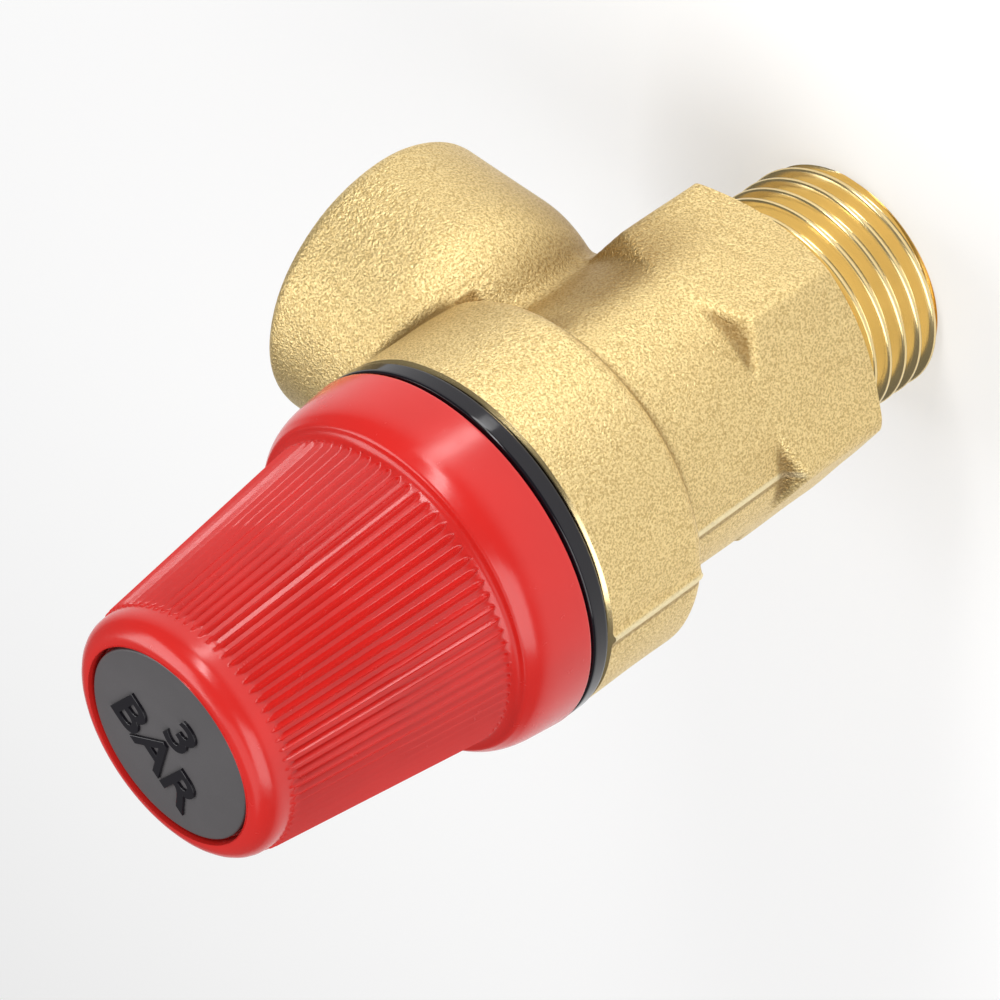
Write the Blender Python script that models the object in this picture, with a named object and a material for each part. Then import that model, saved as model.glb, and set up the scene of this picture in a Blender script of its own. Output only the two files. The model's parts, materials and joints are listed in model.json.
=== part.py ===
"""Pressure relief valve: a spring-loaded brass angle valve with a turning release knob.

The valve axis is +Z with the knob on top, and the origin is the centre of the inlet's end face.
The outlet points along +X. The inlet is a male G1/2 pipe thread and the outlet a female one.
All driving dimensions are in millimetres, and the meshes are made in metres.

The pieces, from the inlet up: the forged body with its seat, the rubber seal in its holder with a
washer and a screw, the diaphragm with its washer, plate and nut on the spindle, the slip ring and the
bonnet that clamp the diaphragm, the spring with its washer and setting nut, and the knob with its
insert, thrust washer and spindle nut.
"""
import math

import bmesh
import bpy
from mathutils import Matrix

MM = 0.001
WELD = 1e-6            # merge distance in metres
GAP = 0.3              # clearance between neighbouring pieces
PAST = 1.0             # how far a cutter runs past the face it opens
SLIVER = 0.01          # offset that keeps two shapes' faces out of one plane

# G1/2 pipe thread, Whitworth form with a 55 degree angle
THREAD_MAJOR_R = 10.48
THREAD_MINOR_R = 9.32
THREAD_PITCH = 1.814
THREAD_CREST_W = 0.32
THREAD_ROOT_W = 1.50
THREAD_BITE = 0.16     # how deep a ridge's foot sits inside its core
THREAD_STEPS = 28      # facets in one turn
THREAD_FADE = 0.6      # turns over which a ridge rises at each end
THREAD_OVERRUN = 1.3   # how far a ridge is made past an end face before it is cut
THREAD_CHAMFER = 0.6

# body, from the inlet end up the valve axis
BORE_R = 6.5
MOUTH_CHAMFER = 0.8
HEX_BOTTOM_Z = 10.4
HEX_FLATS = 25.0
HEX_CORNER_R = HEX_FLATS / math.sqrt(3.0)
HEX_CHAMFER_R = 12.1
HEX_CHAMFER_ANGLE = math.radians(30.0)
HEX_CORE_R = 11.5
HEX_CORE_Z = HEX_BOTTOM_Z + 1.0
HEX_SHOULDER_Z = 20.3
BARREL_R = 12.55
BARREL_Z = 22.2
DRUM_R = 15.9
DRUM_BACK_Z = 33.9
DRUM_EDGE = 1.7
DRUM_FRONT_Z = 45.2
DRUM_BORE_R = 13.6
DIAPHRAGM_LEDGE_Z = 37.1

# outlet boss, from the valve axis out along +X
OUTLET_Z = 28.4
BOSS_R = 12.75
BOSS_END_X = 26.8
BOSS_DOME_X = 17.6
BOSS_EDGE = 0.9
SOCKET_FLOOR_X = 14.6
SOCKET_CHAMFER = 1.2
SOCKET_RUNOUT = 1.4    # plain length at the bottom of the thread
PASSAGE_START_X = 8.6
PASSAGE_R = 7.2

# seat and chamber inside the body
SEAT_Z = 25.0
SEAT_LIP_R = 7.4
NOZZLE_FOOT_R = 8.3
CHAMBER_FLOOR_Z = 21.6
CHAMBER_R = 10.6
CHAMBER_NECK_R = 11.6
CHAMBER_NECK_Z = 34.0

# seal and holder
SEAL_R = 9.0
SEAL_T = 2.4
HOLDER_R = 9.9
HOLDER_LIP_T = 1.7
HOLDER_PLATE_T = 2.0
HOLDER_HUB_R = 4.0
HOLDER_FLANGE_R = 9.0
HOLDER_FLANGE_T = 1.5
SCREW_R = 1.5
SCREW_HEAD_R = 2.8
SCREW_HEAD_T = 1.5
SCREW_LENGTH = 6.2
SEAL_WASHER_R = 4.6
SEAL_WASHER_T = 0.6

# diaphragm and what clamps it
DIAPHRAGM_T = 1.0
DIAPHRAGM_RISE = 1.0   # height of its rolled fold
DIAPHRAGM_WASHER_R = 8.2
DIAPHRAGM_WASHER_T = 0.6
CLAMP_R = 13.3
SLIP_RING_R = 11.8
SLIP_RING_T = 0.8
PLATE_R = 8.6
PLATE_T = 1.5
PLATE_HUB_R = 4.6
PLATE_HUB_T = 1.5
PLATE_NUT_FLATS = 6.5
PLATE_NUT_T = 2.4

# spindle
SPINDLE_R = 2.0
SPINDLE_FIT = 0.3
SPINDLE_BOTTOM_Z = 31.9
SPINDLE_TOP_Z = 74.5

# spring and what sets it
WIRE_R = 0.9
SPRING_MEAN_R = 5.9
SPRING_TURNS = 8.0
SPRING_END_TURNS = 1.1
SPRING_STEPS = 12      # facets in one turn
SPRING_TOP_Z = 61.5
SPRING_WASHER_R = 6.8
SPRING_WASHER_T = 1.0
SETTING_NUT_R = 6.95
SETTING_NUT_T = 3.6
SETTING_NUT_BORE_R = 2.6
SETTING_SLOT_W = 1.6
SETTING_SLOT_D = 1.4

# bonnet
BONNET_SKIRT_R = 13.3
BONNET_SHOULDER_R = 12.9
BONNET_BELL_R = 11.8
BONNET_BELL_TOP_Z = 44.6
FLANGE_R = 16.05
FLANGE_T = 1.6
FLANGE_EDGE = 0.25
TUBE_R = 8.75
TUBE_BORE_R = 7.25
TUBE_FOOT_Z = 51.0
TUBE_BORE_FOOT_Z = 49.4
CAM_FLOOR_Z = 67.6
CAM_COUNT = 3
CAM_TURN = 80.0        # degrees of knob turn that the ramps work over
CAM_DWELL = 10.0       # level stretch after each ramp
CAM_LIFT = 1.5
CAM_STEP = 10.0        # degrees between the stations of a ramp
CAM_DROP = 0.5         # degrees over which a ramp falls back
CAM_FOOT_T = 1.0       # height of the cams' foot above the plain tube

# knob
KNOB_R = 16.1
KNOB_BOTTOM_Z = 47.4
COLLAR_TOP_R = 15.45
COLLAR_TOP_Z = 51.8
COLLAR_EDGE = 0.9
COLLAR_CREASE_R = 14.66
COLLAR_CREASE_Z = 53.3
FLUTE_COUNT = 80
FLUTE_FOOT_R = 13.7
FLUTE_FOOT_Z = 54.3
FLUTE_TIP_R = 11.0
FLUTE_TIP_Z = 74.5
FLUTE_D = 0.42
FLUTE_END = 0.7        # length over which a flute runs out at each end
FLUTE_END_D = 0.1
NOSE_R = 10.75
NOSE_TIP_R = 8.74
NOSE_TIP_Z = 77.25
NOSE_EDGE = 1.9
KNOB_WALL = 1.7
WEB_BOTTOM_Z = 69.7
WEB_T = 1.4
WEB_BORE_R = 2.4
NUT_WELL_R = 7.6
INSERT_SEAT_Z = 76.0
INSERT_R = 8.42
INSERT_T = 0.8
INSERT_TOP_Z = 77.1
INSERT_LEG_R = 7.25
INSERT_LEG_T = 0.7
INSERT_LEG_Z = 74.8
TOOTH_WIDTH = 24.0     # degrees
TOOTH_INNER_R = 7.4
TOOTH_OUTER_R = 8.6
THRUST_WASHER_R = 5.0
THRUST_WASHER_T = 0.6
SPINDLE_NUT_FLATS = 7.0
SPINDLE_NUT_T = 1.9

ROUND = 40             # facets round the large pieces
SMALL_ROUND = 20       # facets round the small pieces
CORNER_STEPS = 3       # facets round a rounded edge

# heights that follow from the above
SEAL_BOTTOM_Z = SEAT_Z + GAP
SEAL_TOP_Z = SEAL_BOTTOM_Z + SEAL_T
HOLDER_BOTTOM_Z = SEAL_TOP_Z + GAP
HOLDER_TOP_Z = DIAPHRAGM_LEDGE_Z
DIAPHRAGM_Z = DIAPHRAGM_LEDGE_Z + GAP
DIAPHRAGM_TOP_Z = DIAPHRAGM_Z + DIAPHRAGM_T
DIAPHRAGM_WASHER_Z = DIAPHRAGM_TOP_Z + GAP
PLATE_Z = DIAPHRAGM_WASHER_Z + DIAPHRAGM_WASHER_T + GAP
PLATE_NUT_Z = PLATE_Z + PLATE_T + PLATE_HUB_T + GAP
SPRING_BOTTOM_Z = PLATE_Z + PLATE_T + GAP
SPRING_WASHER_Z = SPRING_TOP_Z + GAP
SETTING_NUT_Z = SPRING_WASHER_Z + SPRING_WASHER_T + GAP
SLIP_RING_Z = DIAPHRAGM_TOP_Z + GAP
BONNET_BOTTOM_Z = SLIP_RING_Z + SLIP_RING_T + GAP
FLANGE_Z = DRUM_FRONT_Z + GAP
FLANGE_TOP_Z = FLANGE_Z + FLANGE_T
THRUST_WASHER_Z = WEB_BOTTOM_Z + WEB_T + GAP
SPINDLE_NUT_Z = THRUST_WASHER_Z + THRUST_WASHER_T + GAP


# ---------------------------------------------------------------- materials

def make_material(name, colour, roughness, metallic=0.0):
    """One Principled material."""
    made = bpy.data.materials.new(name)
    made.use_nodes = True
    shader = made.node_tree.nodes["Principled BSDF"]
    shader.inputs["Base Color"].default_value = (*colour, 1.0)
    shader.inputs["Roughness"].default_value = roughness
    shader.inputs["Metallic"].default_value = metallic
    made.diffuse_color = (*colour, 1.0)
    return made


def make_materials():
    """Every material, by name."""
    return {
        "forged_brass": make_material("forged_brass", (0.70, 0.56, 0.30), 0.42, 1.0),
        "turned_brass": make_material("turned_brass", (0.80, 0.60, 0.25), 0.22, 1.0),
        "steel": make_material("steel", (0.60, 0.60, 0.61), 0.30, 1.0),
        "rubber": make_material("rubber", (0.03, 0.03, 0.03), 0.75),
        "black_nylon": make_material("black_nylon", (0.012, 0.012, 0.014), 0.25),
        "white_acetal": make_material("white_acetal", (0.80, 0.80, 0.77), 0.45),
        "red_plastic": make_material("red_plastic", (0.75, 0.035, 0.03), 0.28),
        "grey_plastic": make_material("grey_plastic", (0.09, 0.085, 0.09), 0.50),
    }


# ---------------------------------------------------------------- shapes

def add_object(name, bm, made_of=None):
    """A mesh object with its normals out, flat parts flat and round parts smooth."""
    bmesh.ops.remove_doubles(bm, verts=bm.verts, dist=WELD)
    bmesh.ops.recalc_face_normals(bm, faces=bm.faces)
    mesh = bpy.data.meshes.new(name)
    bm.to_mesh(mesh)
    bm.free()
    mesh.shade_smooth()
    mesh.set_sharp_from_angle(angle=math.radians(30.0))
    made = bpy.data.objects.new(name, mesh)
    if made_of:
        mesh.materials.append(made_of)
    bpy.context.scene.collection.objects.link(made)
    return made


def add_cutter(name, bm):
    """A shape that only joins or cuts another one."""
    made = add_object(name, bm)
    made.hide_render = True
    made.display_type = "WIRE"
    return made


def turned(profile, steps=SMALL_ROUND):
    """A solid of revolution about Z from a closed outline of (radius, height) points."""
    bm = bmesh.new()
    corners = [bm.verts.new((r * MM, 0.0, z * MM)) for r, z in profile]
    edges = []
    for corner, following in zip(corners, corners[1:] + corners[:1]):
        if corner.co.x > WELD or following.co.x > WELD:
            edges.append(bm.edges.new((corner, following)))
    bmesh.ops.spin(bm, geom=corners + edges, cent=(0.0, 0.0, 0.0), axis=(0.0, 0.0, 1.0),
                   angle=math.tau, steps=steps, use_merge=True)
    return bm


def ring(inner_r, outer_r, low_z, thickness, steps=SMALL_ROUND):
    """A flat ring."""
    high_z = low_z + thickness
    return turned([(inner_r, low_z), (outer_r, low_z), (outer_r, high_z), (inner_r, high_z)], steps)


def rounded(centre_r, centre_z, radius, from_degrees, to_degrees, steps=CORNER_STEPS):
    """Outline points along a rounded edge."""
    angles = [math.radians(from_degrees + (to_degrees - from_degrees) * i / steps)
              for i in range(steps + 1)]
    return [(centre_r + radius * math.cos(a), centre_z + radius * math.sin(a)) for a in angles]


def lay_along_x(bm):
    """Turn a shape made about Z so that its axis is the outlet's axis."""
    bm.transform(Matrix.Translation((0.0, 0.0, OUTLET_Z * MM)) @ Matrix.Rotation(math.pi / 2, 4, "Y"))
    return bm


def hexagon(flats, low_z, thickness, first_corner=0.0):
    """A hexagonal prism, with one corner at the given angle from +X."""
    bm = bmesh.new()
    corner_r = flats / math.sqrt(3.0) * MM
    corners = [bm.verts.new((corner_r * math.cos(first_corner + i * math.pi / 3),
                             corner_r * math.sin(first_corner + i * math.pi / 3), low_z * MM))
               for i in range(6)]
    face = bm.faces.new(corners)
    top = bmesh.ops.extrude_face_region(bm, geom=[face])["geom"]
    risen = [item for item in top if isinstance(item, bmesh.types.BMVert)]
    bmesh.ops.translate(bm, verts=risen, vec=(0.0, 0.0, thickness * MM))
    return bm


def thread_ridge(low_z, high_z):
    """One closed helical ridge of the pipe thread, fading in and out at its ends."""
    turns = (high_z - low_z - THREAD_ROOT_W) / THREAD_PITCH
    count = round(turns * THREAD_STEPS)
    foot_r = THREAD_MINOR_R - THREAD_BITE
    bm = bmesh.new()
    sections = []
    for i in range(count + 1):
        turn = i / THREAD_STEPS
        rise = max(min(1.0, turn / THREAD_FADE, (count / THREAD_STEPS - turn) / THREAD_FADE), 0.02)
        crest_r = THREAD_MINOR_R + (THREAD_MAJOR_R - THREAD_MINOR_R) * rise
        middle_z = low_z + THREAD_ROOT_W / 2 + THREAD_PITCH * turn
        outline = [(foot_r, -THREAD_ROOT_W / 2), (crest_r, -THREAD_CREST_W / 2),
                   (crest_r, THREAD_CREST_W / 2), (foot_r, THREAD_ROOT_W / 2)]
        angle = math.tau * turn
        sections.append([bm.verts.new((r * math.cos(angle) * MM, r * math.sin(angle) * MM,
                                       (middle_z + z) * MM)) for r, z in outline])
    for near, far in zip(sections, sections[1:]):
        for a in range(4):
            b = (a + 1) % 4
            bm.faces.new((near[a], near[b], far[b], far[a]))
    bm.faces.new(sections[0])
    bm.faces.new(reversed(sections[-1]))
    return bm


def combine(target, operation, other):
    """A Boolean of another shape on the target, kept as a modifier."""
    step = target.modifiers.new(other.name, "BOOLEAN")
    step.operation = operation
    step.object = other
    step.solver = "EXACT"


# ---------------------------------------------------------------- body

def build_hexagon():
    """The spanner hexagon: a prism cut back by a chamfer below and by sloping corners above."""
    prism = add_cutter("hex_prism", hexagon(HEX_FLATS, HEX_BOTTOM_Z, BARREL_Z - HEX_BOTTOM_Z))
    over_r = HEX_CORNER_R + PAST
    chamfer_z = HEX_BOTTOM_Z + (over_r - HEX_CHAMFER_R) * math.tan(HEX_CHAMFER_ANGLE)
    shoulder_z = HEX_SHOULDER_Z - (over_r - HEX_CORNER_R)
    limits = add_cutter("hex_limits", turned([
        (0.0, HEX_BOTTOM_Z - SLIVER), (HEX_CHAMFER_R, HEX_BOTTOM_Z - SLIVER), (over_r, chamfer_z),
        (over_r, shoulder_z), (BARREL_R - GAP, BARREL_Z + SLIVER), (0.0, BARREL_Z + SLIVER)], ROUND))
    combine(prism, "INTERSECT", limits)
    return prism


def build_male_ridge():
    """The inlet's thread ridge, cut back by the chamfer at the end face."""
    ridge = add_cutter("male_ridge", thread_ridge(-THREAD_OVERRUN, HEX_BOTTOM_Z - GAP))
    over_r = THREAD_MAJOR_R + THREAD_BITE
    low_z = 2 * SLIVER
    limits = add_cutter("male_limits", turned([
        (0.0, low_z), (over_r - THREAD_CHAMFER, low_z), (over_r, low_z + THREAD_CHAMFER),
        (over_r, HEX_BOTTOM_Z), (0.0, HEX_BOTTOM_Z)], ROUND))
    combine(ridge, "INTERSECT", limits)
    return ridge


def build_valve_body(metals):
    """Forged body: threaded inlet, hexagon, barrel, drum and outlet boss round one chamber."""
    drum_edge = rounded(DRUM_R - DRUM_EDGE, DRUM_BACK_Z + DRUM_EDGE, DRUM_EDGE, -90.0, 0.0)
    body = add_object("valve_body", turned([
        (0.0, 0.0), (THREAD_MINOR_R, 0.0),
        (THREAD_MINOR_R, HEX_CORE_Z), (HEX_CORE_R, HEX_CORE_Z), (HEX_CORE_R, HEX_SHOULDER_Z),
        (BARREL_R, HEX_SHOULDER_Z), (BARREL_R, DRUM_BACK_Z), *drum_edge,
        (DRUM_R, DRUM_FRONT_Z), (0.0, DRUM_FRONT_Z)], ROUND), metals["forged_brass"])
    combine(body, "UNION", build_hexagon())

    dome = rounded(0.0, BOSS_DOME_X, BOSS_R, -90.0, 0.0, 5)
    rim = rounded(BOSS_R - BOSS_EDGE, BOSS_END_X - BOSS_EDGE, BOSS_EDGE, 0.0, 90.0, 2)
    boss = add_cutter("boss", lay_along_x(turned([*dome, *rim, (0.0, BOSS_END_X)], ROUND)))
    combine(body, "UNION", boss)
    combine(body, "UNION", build_male_ridge())

    chamber = add_cutter("chamber", turned([
        (0.0, -PAST), (BORE_R + MOUTH_CHAMFER + PAST, -PAST), (BORE_R, MOUTH_CHAMFER), (BORE_R, SEAT_Z),
        (SEAT_LIP_R, SEAT_Z), (NOZZLE_FOOT_R, CHAMBER_FLOOR_Z), (CHAMBER_R, CHAMBER_FLOOR_Z),
        (CHAMBER_R, CHAMBER_NECK_Z), (CHAMBER_NECK_R, CHAMBER_NECK_Z + 1.0),
        (CHAMBER_NECK_R, DIAPHRAGM_LEDGE_Z), (DRUM_BORE_R, DIAPHRAGM_LEDGE_Z),
        (DRUM_BORE_R, DRUM_FRONT_Z + PAST), (0.0, DRUM_FRONT_Z + PAST)], ROUND))
    combine(body, "DIFFERENCE", chamber)

    socket = add_cutter("socket", lay_along_x(turned([
        (0.0, PASSAGE_START_X), (PASSAGE_R, PASSAGE_START_X), (PASSAGE_R, SOCKET_FLOOR_X),
        (THREAD_MINOR_R, SOCKET_FLOOR_X), (THREAD_MINOR_R, BOSS_END_X - SOCKET_CHAMFER),
        (THREAD_MINOR_R + SOCKET_CHAMFER + PAST, BOSS_END_X + PAST), (0.0, BOSS_END_X + PAST)],
        THREAD_STEPS)))
    combine(body, "DIFFERENCE", socket)
    ridge = thread_ridge(SOCKET_FLOOR_X + SOCKET_RUNOUT, BOSS_END_X + THREAD_OVERRUN)
    groove = add_cutter("female_groove", lay_along_x(ridge))
    combine(body, "DIFFERENCE", groove)
    return body


# ---------------------------------------------------------------- water side

def build_seal_parts(metals):
    """The rubber seal under its cupped holder, held up by a washer and a screw."""
    bore_r = SCREW_R + GAP
    socket_flats, head_edge = 2.5, 0.5
    seal = add_object("seal_disc", ring(bore_r, SEAL_R, SEAL_BOTTOM_Z, SEAL_T, ROUND), metals["rubber"])

    lip_bottom_z = HOLDER_BOTTOM_Z - HOLDER_LIP_T
    plate_top_z = HOLDER_BOTTOM_Z + HOLDER_PLATE_T
    flange_z = HOLDER_TOP_Z - HOLDER_FLANGE_T
    screw_end_z = SEAL_BOTTOM_Z - GAP - SEAL_WASHER_T + SCREW_LENGTH
    holder = add_object("seal_holder", turned([
        (SEAL_R + GAP, lip_bottom_z), (HOLDER_R, lip_bottom_z), (HOLDER_R, plate_top_z),
        (HOLDER_HUB_R, plate_top_z), (HOLDER_HUB_R, flange_z), (HOLDER_FLANGE_R, flange_z),
        (HOLDER_FLANGE_R, HOLDER_TOP_Z), (SPINDLE_R + SPINDLE_FIT, HOLDER_TOP_Z),
        (SPINDLE_R + SPINDLE_FIT, SPINDLE_BOTTOM_Z - GAP), (0.0, SPINDLE_BOTTOM_Z - GAP),
        (0.0, screw_end_z + GAP), (bore_r, screw_end_z + GAP), (bore_r, HOLDER_BOTTOM_Z),
        (SEAL_R + GAP, HOLDER_BOTTOM_Z)], ROUND), metals["turned_brass"])

    washer_z = SEAL_BOTTOM_Z - GAP - SEAL_WASHER_T
    washer = add_object("seal_washer", ring(bore_r, SEAL_WASHER_R, washer_z, SEAL_WASHER_T),
                        metals["steel"])

    head_top_z = washer_z - GAP
    head_z = head_top_z - SCREW_HEAD_T
    screw = add_object("seal_screw", turned([
        (0.0, head_z), (SCREW_HEAD_R - head_edge, head_z), (SCREW_HEAD_R, head_z + head_edge),
        (SCREW_HEAD_R, head_top_z), (SCREW_R, head_top_z), (SCREW_R, screw_end_z),
        (0.0, screw_end_z)]), metals["steel"])
    socket = add_cutter("screw_socket", hexagon(socket_flats, head_z - PAST, PAST + SCREW_HEAD_T / 2))
    combine(screw, "DIFFERENCE", socket)
    return [seal, holder, washer, screw]


def build_diaphragm_parts(metals):
    """The diaphragm with its rolled fold, the plate and nut on the spindle, and the slip ring."""
    bore_r = SPINDLE_R + SPINDLE_FIT
    low_z = DIAPHRAGM_Z
    high_z = DIAPHRAGM_TOP_Z
    fold_inner_r = HOLDER_FLANGE_R + GAP
    fold_outer_r = SLIP_RING_R - GAP
    fold_r = (fold_inner_r + fold_outer_r) / 2
    add_object("diaphragm", turned([
        (bore_r, low_z), (fold_inner_r, low_z), (fold_r, low_z + DIAPHRAGM_RISE),
        (fold_outer_r, low_z), (CLAMP_R, low_z), (CLAMP_R, high_z), (fold_outer_r, high_z),
        (fold_r, high_z + DIAPHRAGM_RISE), (fold_inner_r, high_z), (bore_r, high_z)], ROUND),
        metals["rubber"])

    washer = add_object("diaphragm_washer", ring(bore_r, DIAPHRAGM_WASHER_R, DIAPHRAGM_WASHER_Z,
                                                 DIAPHRAGM_WASHER_T, ROUND), metals["steel"])

    plate_top_z = PLATE_Z + PLATE_T
    plate = add_object("spring_plate", turned([
        (bore_r, PLATE_Z), (PLATE_R, PLATE_Z), (PLATE_R, plate_top_z), (PLATE_HUB_R, plate_top_z),
        (PLATE_HUB_R, plate_top_z + PLATE_HUB_T), (bore_r, plate_top_z + PLATE_HUB_T)], ROUND),
        metals["turned_brass"])

    nut = add_object("plate_nut", hexagon(PLATE_NUT_FLATS, PLATE_NUT_Z, PLATE_NUT_T), metals["steel"])
    hole = add_cutter("plate_nut_hole", ring(0.0, bore_r, PLATE_NUT_Z - PAST, PLATE_NUT_T + 2 * PAST))
    combine(nut, "DIFFERENCE", hole)

    add_object("slip_ring", ring(SLIP_RING_R, CLAMP_R, SLIP_RING_Z, SLIP_RING_T, ROUND),
               metals["white_acetal"])
    return [washer, plate, nut]


def build_spindle(metals):
    """The spindle that ties the seal holder to the knob's nut."""
    chamfer = 0.4
    return add_object("spindle", turned([
        (0.0, SPINDLE_BOTTOM_Z), (SPINDLE_R, SPINDLE_BOTTOM_Z), (SPINDLE_R, SPINDLE_TOP_Z - chamfer),
        (SPINDLE_R - chamfer, SPINDLE_TOP_Z), (0.0, SPINDLE_TOP_Z)]), metals["turned_brass"])


# ---------------------------------------------------------------- spring side

def spring_height(turn):
    """Height of the wire's centre: close turns at both ends and an even rise between them."""
    close_pitch = 2 * WIRE_R + GAP
    low_z = SPRING_BOTTOM_Z + WIRE_R
    high_z = SPRING_TOP_Z - WIRE_R
    if turn < SPRING_END_TURNS:
        return low_z + close_pitch * turn
    if turn > SPRING_TURNS - SPRING_END_TURNS:
        return high_z - close_pitch * (SPRING_TURNS - turn)
    first_z = low_z + close_pitch * SPRING_END_TURNS
    last_z = high_z - close_pitch * SPRING_END_TURNS
    share = (turn - SPRING_END_TURNS) / (SPRING_TURNS - 2 * SPRING_END_TURNS)
    return first_z + (last_z - first_z) * share


def build_spring(metals):
    """The closed-end compression spring, a wire along a helix."""
    count = round(SPRING_TURNS * SPRING_STEPS) + 1
    curve = bpy.data.curves.new("spring", "CURVE")
    curve.dimensions = "3D"
    curve.bevel_depth = WIRE_R * MM
    curve.bevel_resolution = 1
    curve.use_fill_caps = True
    line = curve.splines.new("POLY")
    line.points.add(count - 1)
    for i, point in enumerate(line.points):
        turn = i / SPRING_STEPS
        angle = math.tau * turn
        point.co = (SPRING_MEAN_R * math.cos(angle) * MM, SPRING_MEAN_R * math.sin(angle) * MM,
                    spring_height(turn) * MM, 1.0)
    spring = bpy.data.objects.new("spring", curve)
    curve.materials.append(metals["steel"])
    bpy.context.scene.collection.objects.link(spring)
    return spring


def build_spring_setting(metals):
    """The washer on the spring and the slotted nut that sets its load."""
    bore_r = SPINDLE_R + SPINDLE_FIT
    add_object("spring_washer", ring(bore_r, SPRING_WASHER_R, SPRING_WASHER_Z, SPRING_WASHER_T),
               metals["steel"])
    nut = add_object("setting_nut", ring(SETTING_NUT_BORE_R, SETTING_NUT_R, SETTING_NUT_Z,
                                         SETTING_NUT_T, ROUND), metals["turned_brass"])
    slot = bmesh.new()
    bmesh.ops.create_cube(slot, size=1.0)
    bmesh.ops.scale(slot, vec=(4 * SETTING_NUT_R * MM, SETTING_SLOT_W * MM, 2 * SETTING_SLOT_D * MM),
                    verts=slot.verts)
    bmesh.ops.translate(slot, vec=(0.0, 0.0, (SETTING_NUT_Z + SETTING_NUT_T) * MM), verts=slot.verts)
    combine(nut, "DIFFERENCE", add_cutter("setting_slot", slot))
    return nut


def ramp_height(degrees):
    """Height of the cam ring's top at an angle: valley, ramp, level dwell, then the drop."""
    share = 360.0 / CAM_COUNT
    along = degrees % share
    if along <= CAM_TURN:
        return CAM_FLOOR_Z + CAM_LIFT * along / CAM_TURN
    if along <= CAM_TURN + CAM_DWELL:
        return CAM_FLOOR_Z + CAM_LIFT
    return CAM_FLOOR_Z


def ramp_stations():
    """Angle and height of each station round the cam ring, doubled where the ramp drops."""
    share = 360.0 / CAM_COUNT
    stations = []
    for sector in range(CAM_COUNT):
        start = sector * share
        steps = round((CAM_TURN + CAM_DWELL) / CAM_STEP)
        stations += [(start + i * CAM_STEP, ramp_height(start + i * CAM_STEP)) for i in range(steps + 1)]
        drop = start + CAM_TURN + CAM_DWELL
        rest_steps = round((share - CAM_TURN - CAM_DWELL) / CAM_STEP)
        stations += [(drop + CAM_DROP + i * CAM_STEP, CAM_FLOOR_Z) for i in range(rest_steps)]
    return stations


def build_bonnet(metals):
    """Spring housing: a skirt screwed into the drum, the flange, and a tube with cam ramps on top."""
    tube_top_z = CAM_FLOOR_Z - CAM_FOOT_T
    flange_low = rounded(FLANGE_R - FLANGE_EDGE, FLANGE_Z + FLANGE_EDGE, FLANGE_EDGE, -90.0, 0.0, 2)
    flange_high = rounded(FLANGE_R - FLANGE_EDGE, FLANGE_TOP_Z - FLANGE_EDGE, FLANGE_EDGE, 0.0, 90.0, 2)
    bonnet = add_object("bonnet", turned([
        (BONNET_BELL_R, BONNET_BOTTOM_Z), (BONNET_SKIRT_R, BONNET_BOTTOM_Z), (BONNET_SKIRT_R, FLANGE_Z),
        *flange_low, *flange_high, (BONNET_SHOULDER_R, FLANGE_TOP_Z),
        (TUBE_R, TUBE_FOOT_Z), (TUBE_R, tube_top_z), (TUBE_BORE_R, tube_top_z),
        (TUBE_BORE_R, TUBE_BORE_FOOT_Z), (BONNET_BELL_R, BONNET_BELL_TOP_Z)], ROUND),
        metals["black_nylon"])

    bm = bmesh.new()
    foot_z = (tube_top_z - THREAD_BITE) * MM
    inner_r, outer_r = TUBE_BORE_R + SLIVER, TUBE_R - SLIVER
    sections = []
    for degrees, height in ramp_stations():
        angle = math.radians(degrees)
        x, y = math.cos(angle) * MM, math.sin(angle) * MM
        sections.append([bm.verts.new(place) for place in (
            (inner_r * x, inner_r * y, foot_z), (outer_r * x, outer_r * y, foot_z),
            (outer_r * x, outer_r * y, height * MM), (inner_r * x, inner_r * y, height * MM))])
    for near, far in zip(sections, sections[1:] + sections[:1]):
        for a in range(4):
            b = (a + 1) % 4
            bm.faces.new((near[a], near[b], far[b], far[a]))
    combine(bonnet, "UNION", add_cutter("cam_ring", bm))
    return bonnet


# ---------------------------------------------------------------- knob

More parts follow.
